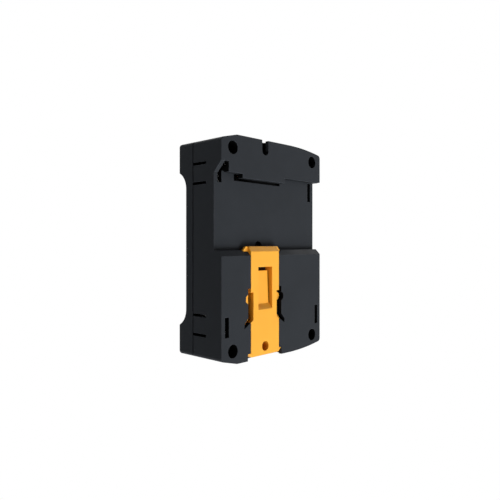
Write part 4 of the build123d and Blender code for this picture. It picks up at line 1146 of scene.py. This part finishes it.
def turnedMesh(name, values):
    centre = Vector(frontMiddle(values["node"]))
    work = bmesh.new()
    ring = [work.verts.new(centre + Vector((r * mm, d * mm, 0))) for r, d in values["profile"]]
    edges = [work.edges.new(pair) for pair in zip(ring, ring[1:])]
    bmesh.ops.spin(
        work, geom=ring + edges, cent=centre, axis=(0, 1, 0), angle=math.radians(360), steps=64,
        use_duplicate=False,
    )
    bmesh.ops.remove_doubles(work, verts=work.verts, dist=meshValues["merge"])
    bmesh.ops.recalc_face_normals(work, faces=work.faces)
    edgeMask = work.faces.layers.float.new("edgeMask")
    for face in work.faces:
        away = (face.calc_center_median() - centre).length
        face[edgeMask] = wornRing["mask"] if wornRing["from"] < away < wornRing["to"] else 0.0
    mesh = meshFrom(work, name, finishes[values["finish"]])
    return evenNormals(mesh, roundedDefaults["sharpAngle"])


for pieceName, values in turnedValues.items():
    standIn(pieceName, values, turnedMesh(pieceName, values))


# Printing: a plain contact diagram on the label, and digits beside terminals and selector
inkValues = {"thickness": 0.02 * mm, "line": 0.3 * mm, "textSize": 3.08 * mm}
labelValues = {      # millimetres from the label's middle
    "poles": ((-4.5, "1", "2"), (0.5, "3", "4"), (5.5, "5", "6")),
    "poleLines": (((0.0, 4.2), (0.0, 1.6)), ((0.0, -3.6), (0.0, -1.2), (-1.3, 1.5))),
    "digitHeights": (5.9, -5.4),
    "coilLines": (
        ((-12.4, 1.6), (-8.2, 1.6), (-8.2, -1.4), (-12.4, -1.4), (-12.4, 1.6)),
        ((-10.3, 4.2), (-10.3, 1.6)),
        ((-10.3, -1.4), (-10.3, -3.6)),
    ),
    "dashes": (-8.0, -6.5, -2.9, -1.2, 2.1, 3.8),
    "dashHeight": 0.1, "dashLength": 1.0,
    "rules": (5.5, 3.3, 1.1, -1.1, -3.3, -5.5),
    "ruleStart": 10.0, "upperRule": 5.4, "lowerRule": 3.6,
}
casingDigitValues = {
    "poles": 3, "fromMiddle": 27.0 * mm,      # of the casing, up and down
    "knobInset": 0.5 * mm, "aboveKnob": 2.2 * mm, "knobScale": 0.8,
}


def inkBar(work, start, end, faceY):
    thickness = inkValues["thickness"]
    start, end = Vector((start[0], 0, start[1])), Vector((end[0], 0, end[1]))
    across = (end - start).normalized().cross(Vector((0, 1, 0))) * inkValues["line"] / 2
    corners = [start - across, end - across, end + across, start + across]
    front = [work.verts.new(c + Vector((0, faceY - thickness, 0))) for c in corners]
    back = [work.verts.new(c + Vector((0, faceY + thickness, 0))) for c in corners]
    work.faces.new(front)
    work.faces.new(back[::-1])
    for i in range(4):
        work.faces.new((front[i - 1], front[i], back[i], back[i - 1]))


def inkDigit(work, text, x, z, faceY, scale=1.0):
    curve = bpy.data.curves.new("digit", "FONT")
    curve.body = text
    curve.size = inkValues["textSize"] * scale
    curve.align_x = "CENTER"
    curve.align_y = "CENTER"
    curve.extrude = inkValues["thickness"]
    curve.resolution_u = 4
    mesh = plainMesh(linked("digit", curve), "digit")
    mesh.transform(Matrix.Translation((x, faceY, z)) @ Matrix.Rotation(math.radians(90), 4, "X"))
    work.from_mesh(mesh)
    bpy.data.meshes.remove(mesh)


def inkPiece(name, work, finish):
    bmesh.ops.recalc_face_normals(work, faces=work.faces)
    newPiece(name, meshFrom(work, name, finish), "casing")


def printLabel(values):
    low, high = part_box("label_plate")
    middleX = (low.x + high.x) / 2
    middle = (low.z + high.z) / 2
    work = bmesh.new()

    def draw(points):
        places = [(middleX + x * mm, middle + z * mm) for x, z in points]
        for start, end in zip(places, places[1:]):
            inkBar(work, start, end, low.y)

    for poleX, *texts in values["poles"]:
        for points in values["poleLines"]:
            draw([(poleX + x, z) for x, z in points])
        for text, height in zip(texts, values["digitHeights"]):
            inkDigit(work, text, middleX + poleX * mm, middle + height * mm, low.y)
    for points in values["coilLines"]:
        draw(points)
    for start in values["dashes"]:
        draw(((start, values["dashHeight"]), (start + values["dashLength"], values["dashHeight"])))
    for z in values["rules"]:
        length = values["upperRule"] if z > 0 else values["lowerRule"]
        draw(((values["ruleStart"], z), (values["ruleStart"] + length, z)))
    inkPiece("labelPrint", work, finishes["print"])


def printCasing(values):
    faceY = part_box("flag_window")[0].y
    low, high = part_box("terminal_screws_top")
    columns = spaced(low.x, high.x, terminalScrewSizes["Head Radius"], terminalRow["columns"])
    work = bmesh.new()
    for index, x in enumerate(columns[:values["poles"]]):
        for sign, text in ((1, str(2 * index + 1)), (-1, str(2 * index + 2))):
            inkDigit(work, text, x, middleZ + sign * values["fromMiddle"], faceY)
    knobLow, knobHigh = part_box("selector_knob")
    for x, text in ((knobLow.x + values["knobInset"], "0"), (knobHigh.x - values["knobInset"], "1")):
        inkDigit(work, text, x, knobHigh.z + values["aboveKnob"], faceY, values["knobScale"])
    inkPiece("casingDigits", work, finishes["palePrint"])


printLabel(labelValues)
printCasing(casingDigitValues)
